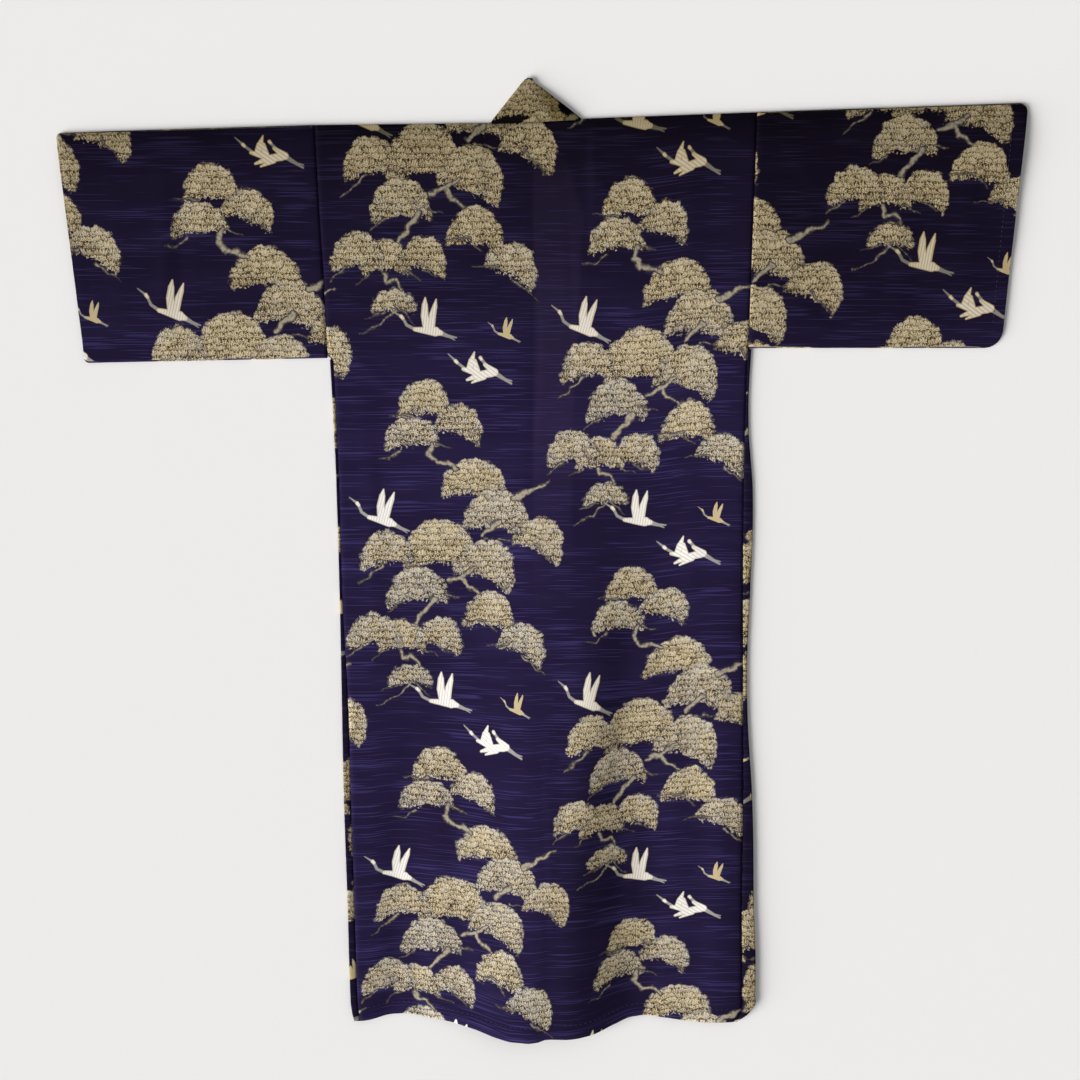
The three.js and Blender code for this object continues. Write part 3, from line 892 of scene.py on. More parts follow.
def make_front(side, material):
    """A front: flat on the surface, and from the underarm down it goes round the side in a half
    turn to a narrow strip on the back."""
    sign = 1 if side == "left" else -1
    edge, strip = edge_of[side], strip_of[side]
    over = 0 if side == "left" else 1
    turned = STRIP_FACES + SIDE_FACES
    nominal = np.linspace(FRONT_TOP, HEM, faces_over(FRONT_LENGTH) + 1)[:, None]
    radius = LAYER_RADIUS
    cloth = sizes().cloth / MM
    centre = edge(nominal) + sign * (radius + cloth / 2)
    strip_end = edge(nominal) + sign * (strip(nominal) - SEAM)
    way = np.linspace(0, 1, STRIP_FACES + 1)[None, :-1]
    on_strip = lerp(strip_end, centre, way)
    angle = np.linspace(0, np.pi, SIDE_FACES + 1)[None, :-1]
    round_it = centre - sign * radius * np.sin(angle)
    band, okumi = fronts[side]["band"](nominal), fronts[side]["seam"](nominal)
    seam = lerp(band, okumi, smooth((OKUMI_TOP - nominal) / 8))
    outer = outer_edge(side, nominal, centre)
    across = np.linspace(0, 1, faces_over(FRONT_WIDTH, HIDDEN_MESH) + 1)[None, :]
    flat = lerp(outer, seam - sign * SEAM, across)
    x = np.concatenate([on_strip, round_it, flat], axis=1)
    y = height(x, nominal)
    y[:, turned:] += shortened(nominal)
    layer = np.full_like(x, TOP_LAYER)
    layer[:, STRIP_FACES:turned] = FLOOR_LAYER + radius * (1 + np.cos(angle))
    layer[:, turned:] = FLOOR_LAYER
    z = layer + UNDER_SHARE * folds(x, y)
    z[:, turned:] += over * lap(x[:, turned:], y[:, turned:])
    z[:, turned:] += np.maximum(creased(FRONT_CREASES, x[:, turned:], y[:, turned:]), 0) * 0.5
    z[:, :STRIP_FACES] -= 0.8 * bell((x[:, :STRIP_FACES] - strip_end) * sign, 1.8)
    has = np.ones((x.shape[0] - 1, x.shape[1] - 1), bool)
    has[: int((nominal[:, 0] > UNDERARM + 9).sum()), :turned] = False
    cut = np.concatenate(
        [
            (centre - strip_end) * sign * (way - 1) - np.pi * radius,
            radius * angle - np.pi * radius + 0 * nominal,
            (flat - outer) * sign,
        ],
        axis=1,
    )
    shift = FRONT_PRINT[side]
    uv = np.stack([shift[0] - sign * cut, y + shift[1]], -1)
    # Painted shade on the strips that turn round the sides
    shade = STRIP_PAINTED_SHADE * (np.arange(x.shape[1]) < turned)[None, :]
    middle = np.stack([x, y, z], -1)
    name = "front_" + side + "_cloth"
    piece = cloth_wall(name, middle, uv, material, cloth, has, marks={"shade": shade})
    declare(piece, "front_" + side)


def make_okumi(side, material):
    """An okumi: from the front's seam to the collar, and below the collar's end to the front
    edge."""
    sign = 1 if side == "left" else -1
    nominal = np.linspace(OKUMI_TOP, HEM, faces_over(OKUMI_LENGTH, HIDDEN_MESH) + 1)[:, None]
    seam = fronts[side]["seam"](nominal) + sign * SEAM
    sewn = fronts[side]["band"](nominal) - sign * SEAM
    free = lerp(sewn, fronts[side]["reach"](nominal), nominal < BAND_END - SEAM)
    x = lerp(seam, free, np.linspace(0, 1, OKUMI_FACES + 1)[None, :])
    y = height(x, nominal) + shortened(nominal)
    z = FLOOR_LAYER + UNDER_SHARE * folds(x, y) + (0 if side == "left" else 1) * lap(x, y)
    shift = FRONT_PRINT[side]
    away, down = OKUMI_PRINT
    uv = np.stack([shift[0] - sign * away - x, y + shift[1] + down], -1)
    cloth = sizes().cloth / MM
    piece = cloth_wall("okumi_" + side + "_cloth", np.stack([x, y, z], -1), uv, material, cloth)
    declare(piece, "okumi_" + side)


def collar_sections(ends, turn, bulge, on_right):
    """Sections of the collar, one a row: the places of its sewn and its free edge, how far it has
    turned over in degrees, which way the turn bulges, and whether it lies on the right front."""
    extras = [np.broadcast_to(value, len(ends)) for value in (turn, bulge, on_right)]
    return np.concatenate([ends, np.stack(extras, -1)], axis=1)


def make_collar(material):
    """The collar: straight lines from its sewn edge to its free one, at sections that run up one
    front, round behind the neck and down the other front. At a slanting crease on each side of
    the neck it turns over in a half circle."""
    radius, layer = (BAND_HIGH - BAND_LOW) / 2, (BAND_HIGH + BAND_LOW) / 2
    nominal = np.linspace(FRONT_TOP, BAND_END, faces_over(COLLAR_RUN, COLLAR_MESH) + 1)
    runs = []
    for side in ("left", "right"):
        seam, free = fronts[side]["band"](nominal), fronts[side]["reach"](nominal)
        ends = np.stack([seam, height(seam, nominal), free, height(free, nominal)], -1)
        runs.append(collar_sections(ends, -90.0, 0, side == "right"))
    corners = len(NECK_BAND["seam_x"])
    place = np.linspace(0, corners - 1, faces_over(COLLAR_NECK))
    names = ("seam_x", "seam_y", "free_x", "free_y")
    neck = np.stack([np.interp(place, np.arange(corners), NECK_BAND[name]) for name in names], -1)
    turn = np.linspace(-90, 90, COLLAR_TURN_FACES + 1)
    first, last = (np.repeat(end, len(turn), 0) for end in (neck[:1], neck[-1:]))
    rows = np.concatenate(
        [
            runs[0][::-1],
            collar_sections(first, turn, 1, 0),
            collar_sections(neck[1:-1], 90, 0, 0),
            collar_sections(last, turn[::-1], -1, 0),
            runs[1],
        ]
    )
    seam, free = rows[:, None, 0:2], rows[:, None, 2:4]
    turned, bulge, on_right = rows[:, 4:5], rows[:, None, 5:6], rows[:, None, 6]
    angle = np.radians(turned)
    along = unit(free - seam)
    out = np.stack([-along[..., 1], along[..., 0]], -1) * bulge
    share = (0.5 - 0.5 * np.cos(np.linspace(0, np.pi, COLLAR_FACES + 1)))[None, :]
    flat = seam + (free - seam) * share[..., None]
    at = flat + out * radius * np.cos(angle)[..., None]
    x, y = at[..., 0], at[..., 1]
    z = layer + radius * np.sin(angle) + on_right * lap(x, y) + UNDER_SHARE * folds(x, y)
    # The crease down the middle of the neck, as a distance from it
    from_crease = (x - lerp(6, -6, (y - 635) / 33)) / 3.4
    z = z + (turned > 60) * np.sin(np.pi * share) * (1.0 - 1.5 * bell(from_crease, 1))
    behind = turned > -90
    # Painted shade on the collar behind the neck, darker on the right of its crease
    shade = behind * (0.85 + 0.4 * smooth((from_crease + 1) / 2))
    length = np.cumsum(np.r_[0, np.linalg.norm(np.diff(flat.mean(1), axis=0), axis=-1)])
    width = np.linalg.norm(free - seam, axis=-1)
    shift = COLLAR_PRINT
    uv = np.stack([shift[0] + length[:, None] + 0 * share, shift[1] + width * share], -1)
    neck_uv = np.stack([x + NECK_PRINT[0], y + NECK_PRINT[1]], -1)
    uv = np.where(behind[..., None], neck_uv, uv)
    rounded = np.sqrt(1 - np.clip(np.abs(2 * share - 1), 0, 0.96) ** 8) + 0 * x
    middle = np.stack([x, y, z], -1)
    thick = sizes().band / MM * rounded
    piece = cloth_wall("collar_cloth", middle, uv, material, thick, marks={"shade": shade})
    declare(piece, "collar")


def make_sleeve(side, material):
    """A sleeve: sections from the cuff to the armhole, each a flattened ring whose two halves lie
    on one another and whose ends are half turns, as a cloth folded along the top."""
    top, bottom = (np.array(at, float) for at in ARMHOLES[side])
    cuff = CUFFS[side]
    cuff_top, cuff_bottom = np.array(cuff["top"], float), np.array(cuff["bottom"], float)
    sign = 1 if side == "right" else -1
    roundest = max(cuff["top_round"], cuff["bottom_round"])
    long = abs(cuff["top"][0] - top[0])
    away = stretch(0, CUFF_CORNER_FACES, roundest, faces_over(long - roundest), long)
    away = np.where(away < roundest, roundest * (away / roundest) ** 1.6, away)[:, None]
    upper = lerp(cuff_top, top, away / long)
    lower = lerp(cuff_bottom, bottom, away / long)

    def rounded(radius):
        inside = np.maximum(0, radius - away[:, 0])
        return radius - np.sqrt(radius**2 - inside**2)

    upper[:, 1] -= rounded(cuff["top_round"])
    lower[:, 1] += rounded(cuff["bottom_round"])
    tall = np.linalg.norm(upper - lower, axis=-1, keepdims=True)
    along = (upper - lower) / tall
    cloth = sizes().cloth / MM
    radius = LAYER_RADIUS
    inset = radius + cloth / 2
    count = faces_over(SLEEVE_HEIGHT)
    flat = tall - 2 * inset
    t = np.linspace(0, 1, count + 1)[None, :]
    turn = (np.linspace(0, np.pi, SLEEVE_TURN_FACES + 1)[1:-1])[None, :]
    reach = np.concatenate(
        [
            inset + flat * (1 - t),
            inset - radius * np.sin(turn) + 0 * tall,
            inset + flat * t,
            inset + flat + radius * np.sin(turn),
        ],
        axis=1,
    )
    layer = (FLOOR_LAYER + TOP_LAYER) / 2
    z = np.concatenate(
        [radius + 0 * t, radius * np.cos(turn), 0 * t - radius, -radius * np.cos(turn)], axis=1
    )
    z = layer + z + 0 * tall
    x = lower[:, :1] + along[:, :1] * reach
    y = lower[:, 1:] + along[:, 1:] * reach
    show = slice(0, count + 1)
    below = inset + flat - reach
    ends = np.sin(np.pi * np.clip(below / flat, 0, 1))[:, show] ** 0.5
    seam = (x - armhole(side, y))[:, show] * sign
    edge = (away + 0 * reach)[:, show]
    z[:, show] += top_roll(below[:, show]) + creased(SLEEVE_CREASES[side], x, y)[:, show] * ends
    z[:, show] += ripple(y[:, show], seam, 0.26) * ends - seam_dip(seam)
    z[:, show] += ends * 0.4 * bell(edge, 9) * np.sin(y[:, show] / 17)
    z[:, show] += ends * 0.45 * smooth((HEM_FOLD - edge) / HEM_EASE)
    shift = SLEEVE_PRINT[side]
    under = -flat - np.pi * radius
    around = np.concatenate(
        [-flat * t, -flat - radius * turn, under - flat * t, under - flat - radius * turn], axis=1
    )
    top_side = np.zeros_like(x, bool)
    top_side[:, show] = True
    u = np.where(top_side, lerp(x, upper[:, :1] + 0 * x, SLEEVE_SLANT[side]), x) + shift[0]
    v = np.where(
        top_side,
        upper[:, 1:] + shift[1] - SLEEVE_SCALE * (upper[:, 1:] - y),
        SLEEVE_SCALE * (upper[:, 1:] - inset + around + shift[1]),
    )
    share, about = SLEEVE_WIDEN[side]
    uv = np.stack([lerp(about + shift[0], u, share), v], -1)
    middle = np.stack([x, y, z], -1)
    # Painted shade, darker towards the sleeve's top
    marks = {"shade": painted_top_shade(side, upper[:, 1:] - y)}
    name = "sleeve_" + side
    piece = cloth_wall(name + "_cloth", middle, uv, material, cloth, around=True, marks=marks)
    row = int(np.searchsorted(away[:, 0], HEM_FOLD - 2))
    sewn = stitches(name + "_stitches", middle, row, slice(4, count - 4), cloth, True)
    declare(piece, name)


# Shader formulas


class Signal:
    """The output of a shader node. Arithmetic with it adds nodes to the same tree."""

    def __init__(self, socket):
        self.socket = socket

    def __add__(self, other):
        return maths("ADD", self, other)

    def __sub__(self, other):
        return maths("SUBTRACT", self, other)

    def __rsub__(self, other):
        return maths("SUBTRACT", other, self)

    def __mul__(self, other):
        return maths("MULTIPLY", self, other)


def wire(tree, value, slot):
    """Links a node's output to an input, or sets the input to a value."""
    if isinstance(value, Signal):
        tree.links.new(value.socket, slot)
    else:
        slot.default_value = value


def add_node(kind, values, output=0, tree=None, **settings):
    """Adds a node with its settings and its inputs by number, and gives one of its outputs."""
    if tree is None:
        tree = next(v.socket.id_data for v in values.values() if isinstance(v, Signal))
    node = tree.nodes.new(kind)
    for name, value in settings.items():
        setattr(node, name, value)
    for number, value in values.items():
        wire(tree, value, node.inputs[number])
    return Signal(node.outputs[output])


def maths(operation, *values, clamp=False):
    return add_node(
        "ShaderNodeMath", dict(enumerate(values)), operation=operation, use_clamp=clamp
    )


def vectors(operation, *values, output=0):
    return add_node(
        "ShaderNodeVectorMath", dict(enumerate(values)), output=output, operation=operation
    )


def times_plus(a, b, c, clamp=False):
    return maths("MULTIPLY_ADD", a, b, c, clamp=clamp)


def length(vector):
    return vectors("LENGTH", vector, output=1)


def split(vector):
    x = add_node("ShaderNodeSeparateXYZ", {0: vector})
    return x, Signal(x.socket.node.outputs[1])


def join(x, y, z=0.0):
    return add_node("ShaderNodeCombineXYZ", {0: x, 1: y, 2: z})


def turned(vector, angle):
    return add_node("ShaderNodeVectorRotate", {0: vector, 3: angle}, rotation_type="Z_AXIS")


def mixed(factor, a, b, kind="FLOAT"):
    """A blend from a to b. Each kind has its own sockets on the same node."""
    first = {"FLOAT": 2, "VECTOR": 4, "RGBA": 6}[kind]
    output = {"FLOAT": 0, "VECTOR": 1, "RGBA": 2}[kind]
    values = {0: factor, first: a, first + 1: b}
    return add_node("ShaderNodeMix", values, output=output, data_type=kind)


def mixed_colour(factor, a, b):
    a, b = ((*c, 1) if isinstance(c, tuple) else c for c in (a, b))
    return mixed(factor, a, b, "RGBA")


def noise(vector, scale, detail, output=0):
    return add_node(
        "ShaderNodeTexNoise",
        {0: vector, 2: scale, 3: detail},
        output=output,
        noise_dimensions="2D",
    )


def above(signal, low, high):
    """Rises from 0 where the signal is low to 1 where it is high."""
    return times_plus(signal, 1 / (high - low), -low / (high - low), clamp=True)


def spread(signal, amount):
    """A signal from 0 to 1 as a departure to both sides of nothing, so large from end to end."""
    return times_plus(signal, amount, -amount / 2)


def within(distance, sharpness):
    """1 inside an outline and 0 outside, from the distance to it."""
    return times_plus(distance, -sharpness, 0.5, clamp=True)


def streaks(x, y, size, detail):
    """Noise whose spots are so long across the cloth and so high along it."""
    return noise(join(x * (1 / size[0]), y * (1 / size[1])), 1.0, detail)


def connect_all(tree, signals, output):
    """Links signals to the inputs of a group's output node, in order."""
    for slot, signal in zip(output.inputs, signals):
        tree.links.new(signal.socket, slot)
    return tree


def new_group(name, inputs, outputs):
    """An empty shader node group with named sockets: its tree, its inputs and its output node."""
    tree = bpy.data.node_groups.new(name, "ShaderNodeTree")
    kinds = {"f": "NodeSocketFloat", "v": "NodeSocketVector", "c": "NodeSocketColor"}
    for way, sockets in (("INPUT", inputs), ("OUTPUT", outputs)):
        for socket, kind in sockets.items():
            tree.interface.new_socket(name=socket, in_out=way, socket_type=kinds[kind])
    into = tree.nodes.new("NodeGroupInput")
    signals = [Signal(into.outputs[i]) for i in range(len(inputs))]
    return tree, signals, tree.nodes.new("NodeGroupOutput")


# Print


def chart(x, y):
    """A place in the chart, which counts in the picture's pixels, in millimetres from its cell's
    centre."""
    cell = CHART["cell"]
    return ((x - cell[0]) * PHOTO_MM_PER_PIXEL, (cell[1] - y) * PHOTO_MM_PER_PIXEL)


def in_cell(point, middle):
    """Where in the repeat a point is, from the cell's centre. Every second column of cells is
    shifted by half a cell, and the repeat's edge is kept away from the part round middle."""
    wide, tall = (size * PHOTO_MM_PER_PIXEL for size in (CHART["wide"], CHART["tall"]))
    home = [
        (CHART["cell"][0] - PHOTO_ORIGIN[0]) * PHOTO_MM_PER_PIXEL,
        (PHOTO_ORIGIN[1] - CHART["cell"][1]) * PHOTO_MM_PER_PIXEL,
    ]
    middle = chart(*middle)
    away = (home[0] + middle[0] + PRINT_LEAN * middle[1], home[1] + middle[1], 0)
    x, y = split(vectors("SUBTRACT", point, away))
    column = maths("ROUND", x * (1 / wide))
    y = maths("WRAP", times_plus(column, -tall / 2, y), tall / 2, -tall / 2)
    x = times_plus(y, -PRINT_LEAN, times_plus(column, -wide, x))
    return vectors("ADD", join(x, y), (middle[0], middle[1], 0))


def rod(point, start, end, from_radius, to_radius):
    """The distance to a rod between two places, whose radius changes from end to end."""
    way = (end[0] - start[0], end[1] - start[1])
    square = way[0] ** 2 + way[1] ** 2
    along = vectors("DOT_PRODUCT", point, (way[0] / square, way[1] / square, 0), output=1)
    offset = (start[0] * way[0] + start[1] * way[1]) / square
    along = maths("SUBTRACT", along, offset, clamp=True)
    nearest = vectors("MULTIPLY_ADD", (*way, 0), join(along, along), (*start, 0))
    away = vectors("DISTANCE", point, nearest, output=1)
    return times_plus(along, from_radius - to_radius, away) - from_radius


def rods(point, lines, place, size, nearest=None):
    """The distance to the nearest of several bent rods. A line is its two end radii and its
    places, and place turns a drawing's place into one in the point's units."""
    for radii, *places in lines:
        widths = np.linspace(radii[0], radii[1], len(places)) * size
        for i in range(len(places) - 1):
            ends = place(*places[i]), place(*places[i + 1])
            one = rod(point, *ends, float(widths[i]), float(widths[i + 1]))
            nearest = one if nearest is None else maths("MINIMUM", nearest, one)
    return nearest


def pine_head_group():
    """One cushion of pine needles, laid over those before it. Its outline is the upper part of an
    oval, cut off below by a bow that opens downwards, and a dark line runs round its rim. Towards
    the rim it is less golden."""
    state = {"Mask": "f", "Gold": "f", "Height": "f", "Rim": "f"}
    inputs = {"Point": "v", "Centre": "v"}
    inputs |= dict.fromkeys(("Turn", "Half width", "Tall", "Tint", "Tufts", "Ragged"), "f")
    inputs |= {"Under " + name: kind for name, kind in state.items()}
    tree, signals, output = new_group("pine head", inputs, state)
    point, centre, turn, half, tall, tint, tufts, ragged, mask, gold, up, rim = signals
    spot = turned(vectors("SUBTRACT", point, centre), turn)
    x, y = split(vectors("DIVIDE", spot, join(half, tall)))
    square = x * x
    low = maths("MAXIMUM", y, y * -2.2)
    round_it = maths("SQRT", times_plus(low, low, square)) - 1.0
    bow = times_plus(y, -1.3, times_plus(square, -0.24, 0.0))
    bow = times_plus(bow, tall, ragged)
    away = maths("MAXIMUM", times_plus(round_it, tall, tufts), bow)
    inside = within(away, PINE_EDGE)
    ring = maths("MULTIPLY_ADD", maths("ABSOLUTE", away - 1.0), -0.9, 1.0, clamp=True)
    middle = times_plus(away, -0.07, 0.15, clamp=True)
    results = (
        maths("MAXIMUM", mask, inside),
        mixed(inside, gold, tint * middle),
        mixed(inside, up, y),
        maths("MAXIMUM", rim * (1.0 - inside), ring),
    )
    return connect_all(tree, results, output)


def needles_group():
    """The tufts that fill a cushion of needles: scales in rows, every second row shifted by half
    a scale, each with needles that spread upwards, and dark gaps where the scales leave room.
    Also how far the needles and the scales push the outlines out and in."""
    outputs = {"Tufts": "f", "Light": "f", "Gold": "f"}
    tree, (point,), output = new_group("needles", {"Point": "v"}, outputs)
    x, y = split(vectors("MULTIPLY", point, (1 / TUFT[0], 1 / TUFT[1], 0)))
    row = maths("FLOOR", y)
    x = times_plus(row, 0.5, x)
    cell = join(maths("FLOOR", x), row)
    cells = add_node("ShaderNodeTexWhiteNoise", {0: cell}, output=1, noise_dimensions="2D")
    random, second = split(cells)
    x = times_plus(random, 0.26, maths("FRACT", x)) - 0.63
    y = times_plus(second, 0.24, maths("FRACT", y)) - 0.62
    angle = maths("ARCTAN2", x, y + 0.62)
    fan = maths("SINE", angle * 13.0)
    reach = length(join(x, y + 0.22))
    light = times_plus(fan, 0.34, 0.84) + times_plus(y, 0.44, spread(random, 0.4))
    light = light - above(reach, 0.42, 0.66) * 0.80
    tufts = times_plus(reach, 2.4, times_plus(fan, 1.3, -1.2))
    return connect_all(tree, (tufts, light, second), output)


def group_node(group, tree, values):
    """Adds a group to a tree, sets its inputs and gives its outputs."""
    node = tree.nodes.new("ShaderNodeGroup")
    node.node_tree = group
    for slot, value in zip(node.inputs, values):
        wire(tree, value, slot)
    return [Signal(output) for output in node.outputs]


def as_drawn(x, y):
    """A place in a crane's drawing, which keeps the drawing's own units."""
    return x, y


def cranes(point_of):
    """The cranes. Those with their wings up are one drawing at three places, turned and sized,
    and the gliding pair is another. Gives the distances to the rising ones' feathers, to all
    necks and legs, and to the pair's feathers, where the small one is, and the feathers' lines."""
    nearest, small = None, None
    for part, centre, turn, size, gold in RISING_CRANES:
        spot = vectors("SUBTRACT", point_of[part], (*chart(*centre), 0))
        spot = turned(spot, -math.radians(turn))
        spot = vectors("MULTIPLY", spot, (1 / (size * PHOTO_MM_PER_PIXEL),) * 3)
        if nearest is None:
            nearest = spot
            continue
        near = maths("LESS_THAN", length(spot), CRANE_REACH)
        nearest = mixed(near, nearest, spot, "VECTOR")
        small = near if gold else small
    rising = rods(nearest, RISING["white"], as_drawn, 1)
    grey = rods(nearest, RISING["grey"], as_drawn, 1)
    x, y = split(nearest)
    feathers = maths("SINE", times_plus(x, 2.3, y * -0.62))
    spot = vectors("SUBTRACT", point_of[GLIDING_PAIR[0]], (*chart(*GLIDING_PAIR[1]), 0))
    spot = vectors("MULTIPLY", spot, (1 / PHOTO_MM_PER_PIXEL,) * 3)
    pair = rods(spot, GLIDING["white"], as_drawn, 1)
    grey = rods(spot, GLIDING["grey"], as_drawn, 1, grey)
    x, y = split(spot)
    bars = maths("SINE", times_plus(x, 1.1, y * 1.6))
    return rising, grey, pair, small, feathers, bars


def print_group():
    """The printed cloth's colours at a place on the cloth, in millimetres. The ground has broken
    lighter lines across it. Over it lie the pines, their branches and the cranes."""
    inputs = {"Point": "v", "Band": "f", "Shade": "f"}
    tree, (point, band, shade), output = new_group(
        "pine and crane print", inputs, {"Colour": "c", "Figure": "f"}
    )
    colour = {name: tuple(getattr(colours(), name)) for name in COLOUR_NAMES}
    x, y = split(point)
    # The ground and its broken lines
    bunch = streaks(x, y, LINE_BUNCHES, 1.0)
    dash = streaks(x, y, LINE_DASHES, 0.0)
    haze = streaks(x, y, LINE_HAZE, 1.0)
    slub = above(times_plus(bunch, 0.6, dash), 0.97, 1.06)
    base = mixed_colour(slub * 0.72, colour["ground"], colour["slub"])
    base = mixed_colour(above(haze, 0.40, 0.66) * 0.10, base, colour["slub"])
    # Painted light shining through where the back is a single layer
    base = mixed_colour(band * 0.28, base, PAINTED_THROUGH_LIGHT)
    # Unevenness that pulls the drawing about
    knots = noise(point, 0.24, 1.0)
    wobble = spread(knots, 2.2)
    ragged = times_plus(knots, 17.0, -7.0)
    bend = vectors("SUBTRACT", noise(point, 0.07, 0.5, 1), (0.5, 0.5, 0.5))
    bent_point = vectors("MULTIPLY_ADD", bend, (8.5, 8.5, 0), point)
    grain = noise(point, 0.75, 1.0)
    tufts, light, random = group_node(needles_group(), tree, [bent_point])
    tufts = tufts + spread(grain, 5.0)
    # The cushions and the wood, part by part
    head_group = pine_head_group()
    state = [0.0, 0.0, 0.0, 0.0]
    wood = None
    point_of = {}
    for part, middle in PARTS.items():
        at_part = point_of[part] = in_cell(point if part in BIRDS else bent_point, middle)
        if part in BIRDS:
            continue
        for cx, cy, half, tall, tilt, tint in PINE_HEADS[part]:
            values = [at_part, (cx, cy, 0), -math.radians(tilt), half, tall, tint, tufts, ragged]
            state = group_node(head_group, tree, values + state)
        wood = rods(at_part, BRANCHES[part], chart, PHOTO_MM_PER_PIXEL, wood)
    # The needles' colours
    mask, gold, up, rim = state
    light = light + times_plus(up, 0.36, -0.12) + spread(grain, 2.8)
    light = light * times_plus(rim, -0.75, 1.0)
    # Painted shade also turns the needles more golden
    gold = times_plus(grain, 1.8, -0.8) + times_plus(shade, 0.9, gold)
    gold = maths("ADD", gold, spread(random, 0.6), clamp=True)
    needles = mixed_colour(gold, colour["silver"], colour["gold"])
    needles = mixed_colour(above(light, 0.04, 0.86), colour["ink"], needles)
    needles = mixed_colour(above(light, 0.80, 1.25), needles, colour["tips"])
    base = mixed_colour(mask, base, needles)
    # The bark
    wood = wood + wobble + spread(grain, 1.2)
    bark = mixed_colour(above(grain, 0.42, 0.60) * 0.7, colour["silver"], colour["gold"])
    bark = mixed_colour(above(knots, 0.48, 0.64) * 0.32, bark, colour["ink"])
    bark = mixed_colour(above(wood, -2.8, -0.9) * 0.9, bark, colour["ink"])
    in_wood = within(wood, WOOD_EDGE)
    base = mixed_colour(in_wood, base, bark)
    # The cranes
    rising, grey, pair, small, feathers, bars = cranes(point_of)
    base = mixed_colour(within(grey, CRANE_EDGE), base, colour["silver"])
    figure = maths("MAXIMUM", mask, in_wood)
    for away, lines in ((rising, feathers), (pair, bars)):
        golden = maths("MAXIMUM", above(lines, 0.3, 0.9), above(away, -1.3, -0.3))
        # Painted shade also turns the cranes more golden
        golden = maths("MAXIMUM", times_plus(shade, 0.9, golden * 0.55), small * 0.9, clamp=True)
        plume = mixed_colour(golden, colour["white"], colour["gold"])
        inside = within(away, CRANE_EDGE)
        base = mixed_colour(inside, base, plume)
        figure = maths("MAXIMUM", figure, inside)
    # Painted shade, which dims the pines and cranes less than the ground
    dark = shade * times_plus(figure, -0.40, 1.0)
    kept = vectors("MULTIPLY_ADD", join(dark, dark, dark), (-1.0, -1.02, -1.12), (1, 1, 1))
    base = vectors("MULTIPLY", base, vectors("MAXIMUM", kept, (0.02, 0.02, 0.02)))
    return connect_all(tree, (base, figure), output)


def weave_group():
    """The height of the weave: fine threads both ways and slow unevenness."""
    tree, (point,), output = new_group("weave", {"Point": "v"}, {"Height": "f"})
    x, y = split(point)
    threads = maths("SINE", x * 3.9) * maths("SINE", y * 4.3)
    slow = noise(point, 0.035, 3.0)
    rib = noise(join(x * 0.02, y * 0.9), 1.0, 1.0)
    return connect_all(tree, [threads * 0.10 + slow * 1.6 + rib * 0.35], output)


# Materials


def attribute(tree, name):
    """A mark that is stored at the points of a piece."""
    return add_node("ShaderNodeAttribute", {}, output=2, tree=tree, attribute_name=name)


def cloth_material():
    """The printed cloth, drawn on the UV map, which is in metres of cloth."""
    name = "pine and crane cloth"
    if name in bpy.data.materials:
        return bpy.data.materials[name]
    material = bpy.data.materials.new(name)
    material.use_nodes = True
    tree = material.node_tree
    shader = tree.nodes["Principled BSDF"]
    uv = add_node("ShaderNodeUVMap", {}, tree=tree, uv_map="cloth")
    point = vectors("MULTIPLY", uv, (1 / MM, 1 / MM, 0))
    # The painted light through a single layer and the painted shade, stored at the points
    marks = [attribute(tree, mark) for mark in ("single_layer", "shade")]
    colour, figure = group_node(print_group(), tree, [point, *marks])
    (height_of_weave,) = group_node(weave_group(), tree, [point])
    wire(tree, colour, shader.inputs["Base Color"])
    wire(tree, times_plus(figure, -0.18, 0.80), shader.inputs["Roughness"])
    shader.inputs["Specular IOR Level"].default_value = 0.02
    bump = tree.nodes.new("ShaderNodeBump")
    bump.inputs["Strength"].default_value = 0.35
    bump.inputs["Distance"].default_value = 0.0006
    wire(tree, height_of_weave, bump.inputs["Height"])
    tree.links.new(bump.outputs["Normal"], shader.inputs["Normal"])
    return material


def plain_material(name, colour, roughness):
    """A material of one colour."""
    material = bpy.data.materials.new(name)
    material.use_nodes = True
    shader = material.node_tree.nodes["Principled BSDF"]
    shader.inputs["Base Color"].default_value = (*colour, 1)
    shader.inputs["Roughness"].default_value = roughness
    return material


def thread_material():
    """The sewing thread, in the colour of the ground."""
    name = "sewing thread"
    if name in bpy.data.materials:
        return bpy.data.materials[name]
    return plain_material(name, colours().ground, 0.6)


# Stage


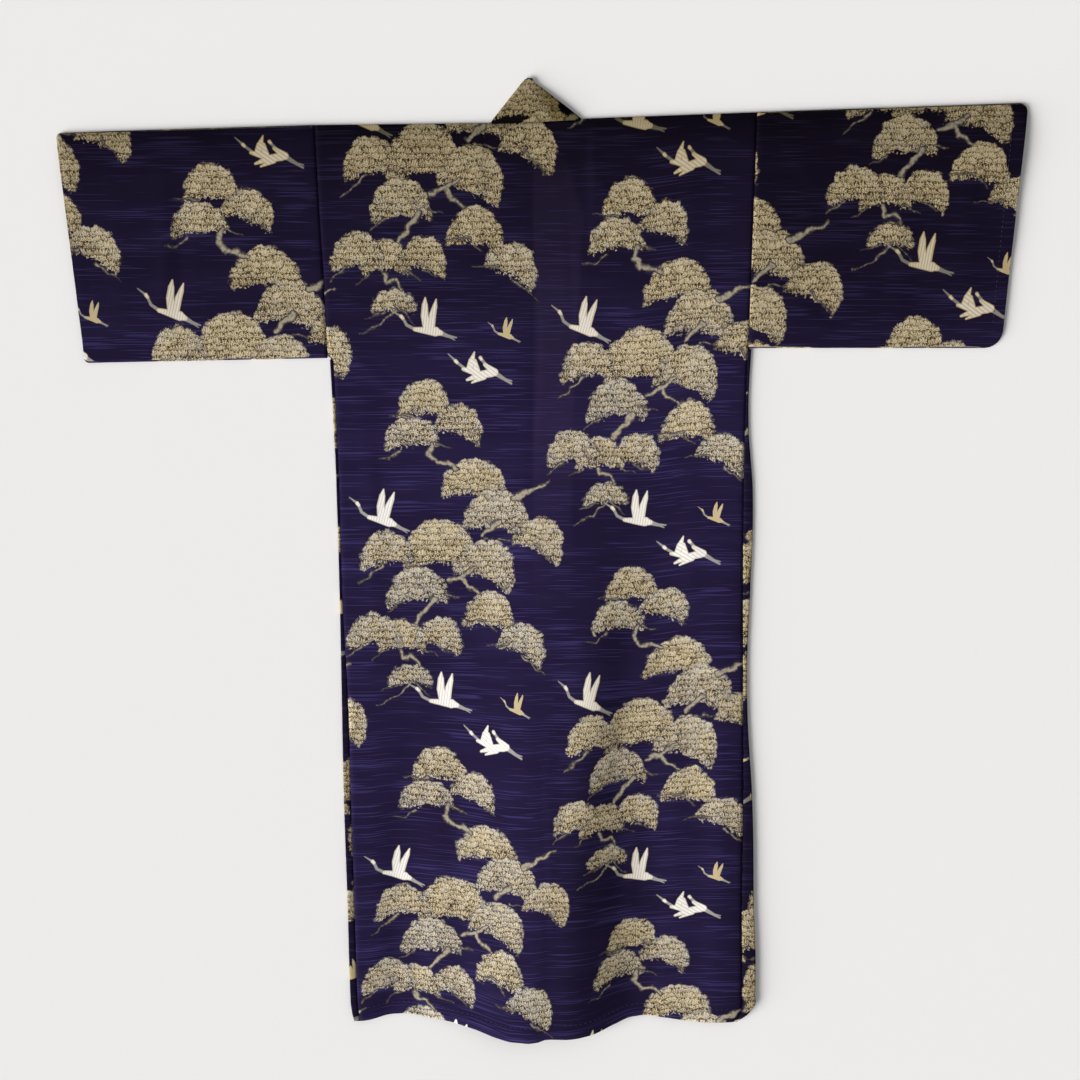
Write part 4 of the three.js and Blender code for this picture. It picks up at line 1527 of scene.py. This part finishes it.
def make_stage():
    """A pale floor, soft lights and the camera, straight above the garment as in the picture."""
    scene = bpy.context.scene
    scene.view_settings.view_transform = "Standard"
    floor = bpy.data.meshes.new("floor")
    half = FLOOR_HALF
    corners = [(-half, -half, 0), (half, -half, 0), (half, half, 0), (-half, half, 0)]
    floor.from_pydata(corners, [], [(0, 1, 2, 3)])
    floor.materials.append(plain_material("floor", colours().floor, 0.9))
    ground = bpy.data.objects.new("floor", floor)
    ground.location.z = -FLOOR_DROP
    scene.collection.objects.link(ground)
    for name, place, softness, power, tint in LIGHTS:
        lamp = bpy.data.lights.new(name, "SUN")
        lamp.angle = math.radians(softness)
        lamp.energy = power
        lamp.color = tint
        light = bpy.data.objects.new(name, lamp)
        light.location = place
        light.rotation_mode = "QUATERNION"
        light.rotation_quaternion = Vector(place).to_track_quat("Z", "Y")
        scene.collection.objects.link(light)
    world = bpy.data.worlds.new("studio")
    world.use_nodes = True
    backdrop = world.node_tree.nodes["Background"]
    backdrop.inputs["Color"].default_value = (1, 1, 1, 1)
    backdrop.inputs["Strength"].default_value = WORLD_LIGHT
    scene.world = world
    lens = bpy.data.cameras.new("camera")
    lens.sensor_width = SENSOR
    lens.lens = SENSOR * CAMERA_HEIGHT / FRAME_WIDTH
    camera = bpy.data.objects.new("camera", lens)
    middle = PHOTO_PIXELS / 2
    camera.location = (
        (middle - PHOTO_ORIGIN[0]) * PHOTO_MM_PER_PIXEL * MM,
        (PHOTO_ORIGIN[1] - middle) * PHOTO_MM_PER_PIXEL * MM,
        CAMERA_HEIGHT,
    )
    scene.collection.objects.link(camera)
    scene.camera = camera


# Operators and panel


class YUKATA_OT_body(bpy.types.Operator):
    """Make the back, the fronts and the okumi"""

    bl_idname = "yukata.body"
    bl_label = "Body"

    def execute(self, context):
        material = cloth_material()
        make_back(material)
        for side in ("left", "right"):
            make_front(side, material)
            make_okumi(side, material)
        return {"FINISHED"}


class YUKATA_OT_collar(bpy.types.Operator):
    """Make the collar"""

    bl_idname = "yukata.collar"
    bl_label = "Collar"

    def execute(self, context):
        make_collar(cloth_material())
        return {"FINISHED"}


class YUKATA_OT_sleeves(bpy.types.Operator):
    """Make both sleeves"""

    bl_idname = "yukata.sleeves"
    bl_label = "Sleeves"

    def execute(self, context):
        for side in ("left", "right"):
            make_sleeve(side, cloth_material())
        return {"FINISHED"}


class YUKATA_OT_stage(bpy.types.Operator):
    """Make the floor, the lights and the camera"""

    bl_idname = "yukata.stage"
    bl_label = "Stage"

    def execute(self, context):
        make_stage()
        return {"FINISHED"}


class YUKATA_PT_panel(bpy.types.Panel):
    """The yukata's sizes, colours and buttons"""

    bl_idname = "YUKATA_PT_panel"
    bl_label = "Yukata"
    bl_space_type = "VIEW_3D"
    bl_region_type = "UI"
    bl_category = "Yukata"

    def draw(self, context):
        for group in (context.scene.yukata_sizes, context.scene.yukata_colours):
            for name in group.__annotations__:
                self.layout.prop(group, name)
        for operator in OPERATORS:
            self.layout.operator(operator.bl_idname)


OPERATORS = (YUKATA_OT_body, YUKATA_OT_collar, YUKATA_OT_sleeves, YUKATA_OT_stage)
CLASSES = (YukataSizes, YukataColours, *OPERATORS, YUKATA_PT_panel)


def register():
    for each in CLASSES:
        bpy.utils.register_class(each)
    bpy.types.Scene.yukata_sizes = PointerProperty(type=YukataSizes)
    bpy.types.Scene.yukata_colours = PointerProperty(type=YukataColours)


def unregister():
    del bpy.types.Scene.yukata_colours
    del bpy.types.Scene.yukata_sizes
    for each in reversed(CLASSES):
        bpy.utils.unregister_class(each)


def main():
    register()
    bpy.ops.yukata.body()
    bpy.ops.yukata.collar()
    bpy.ops.yukata.sleeves()
    bpy.ops.yukata.stage()


if __name__ == "__main__":
    main()
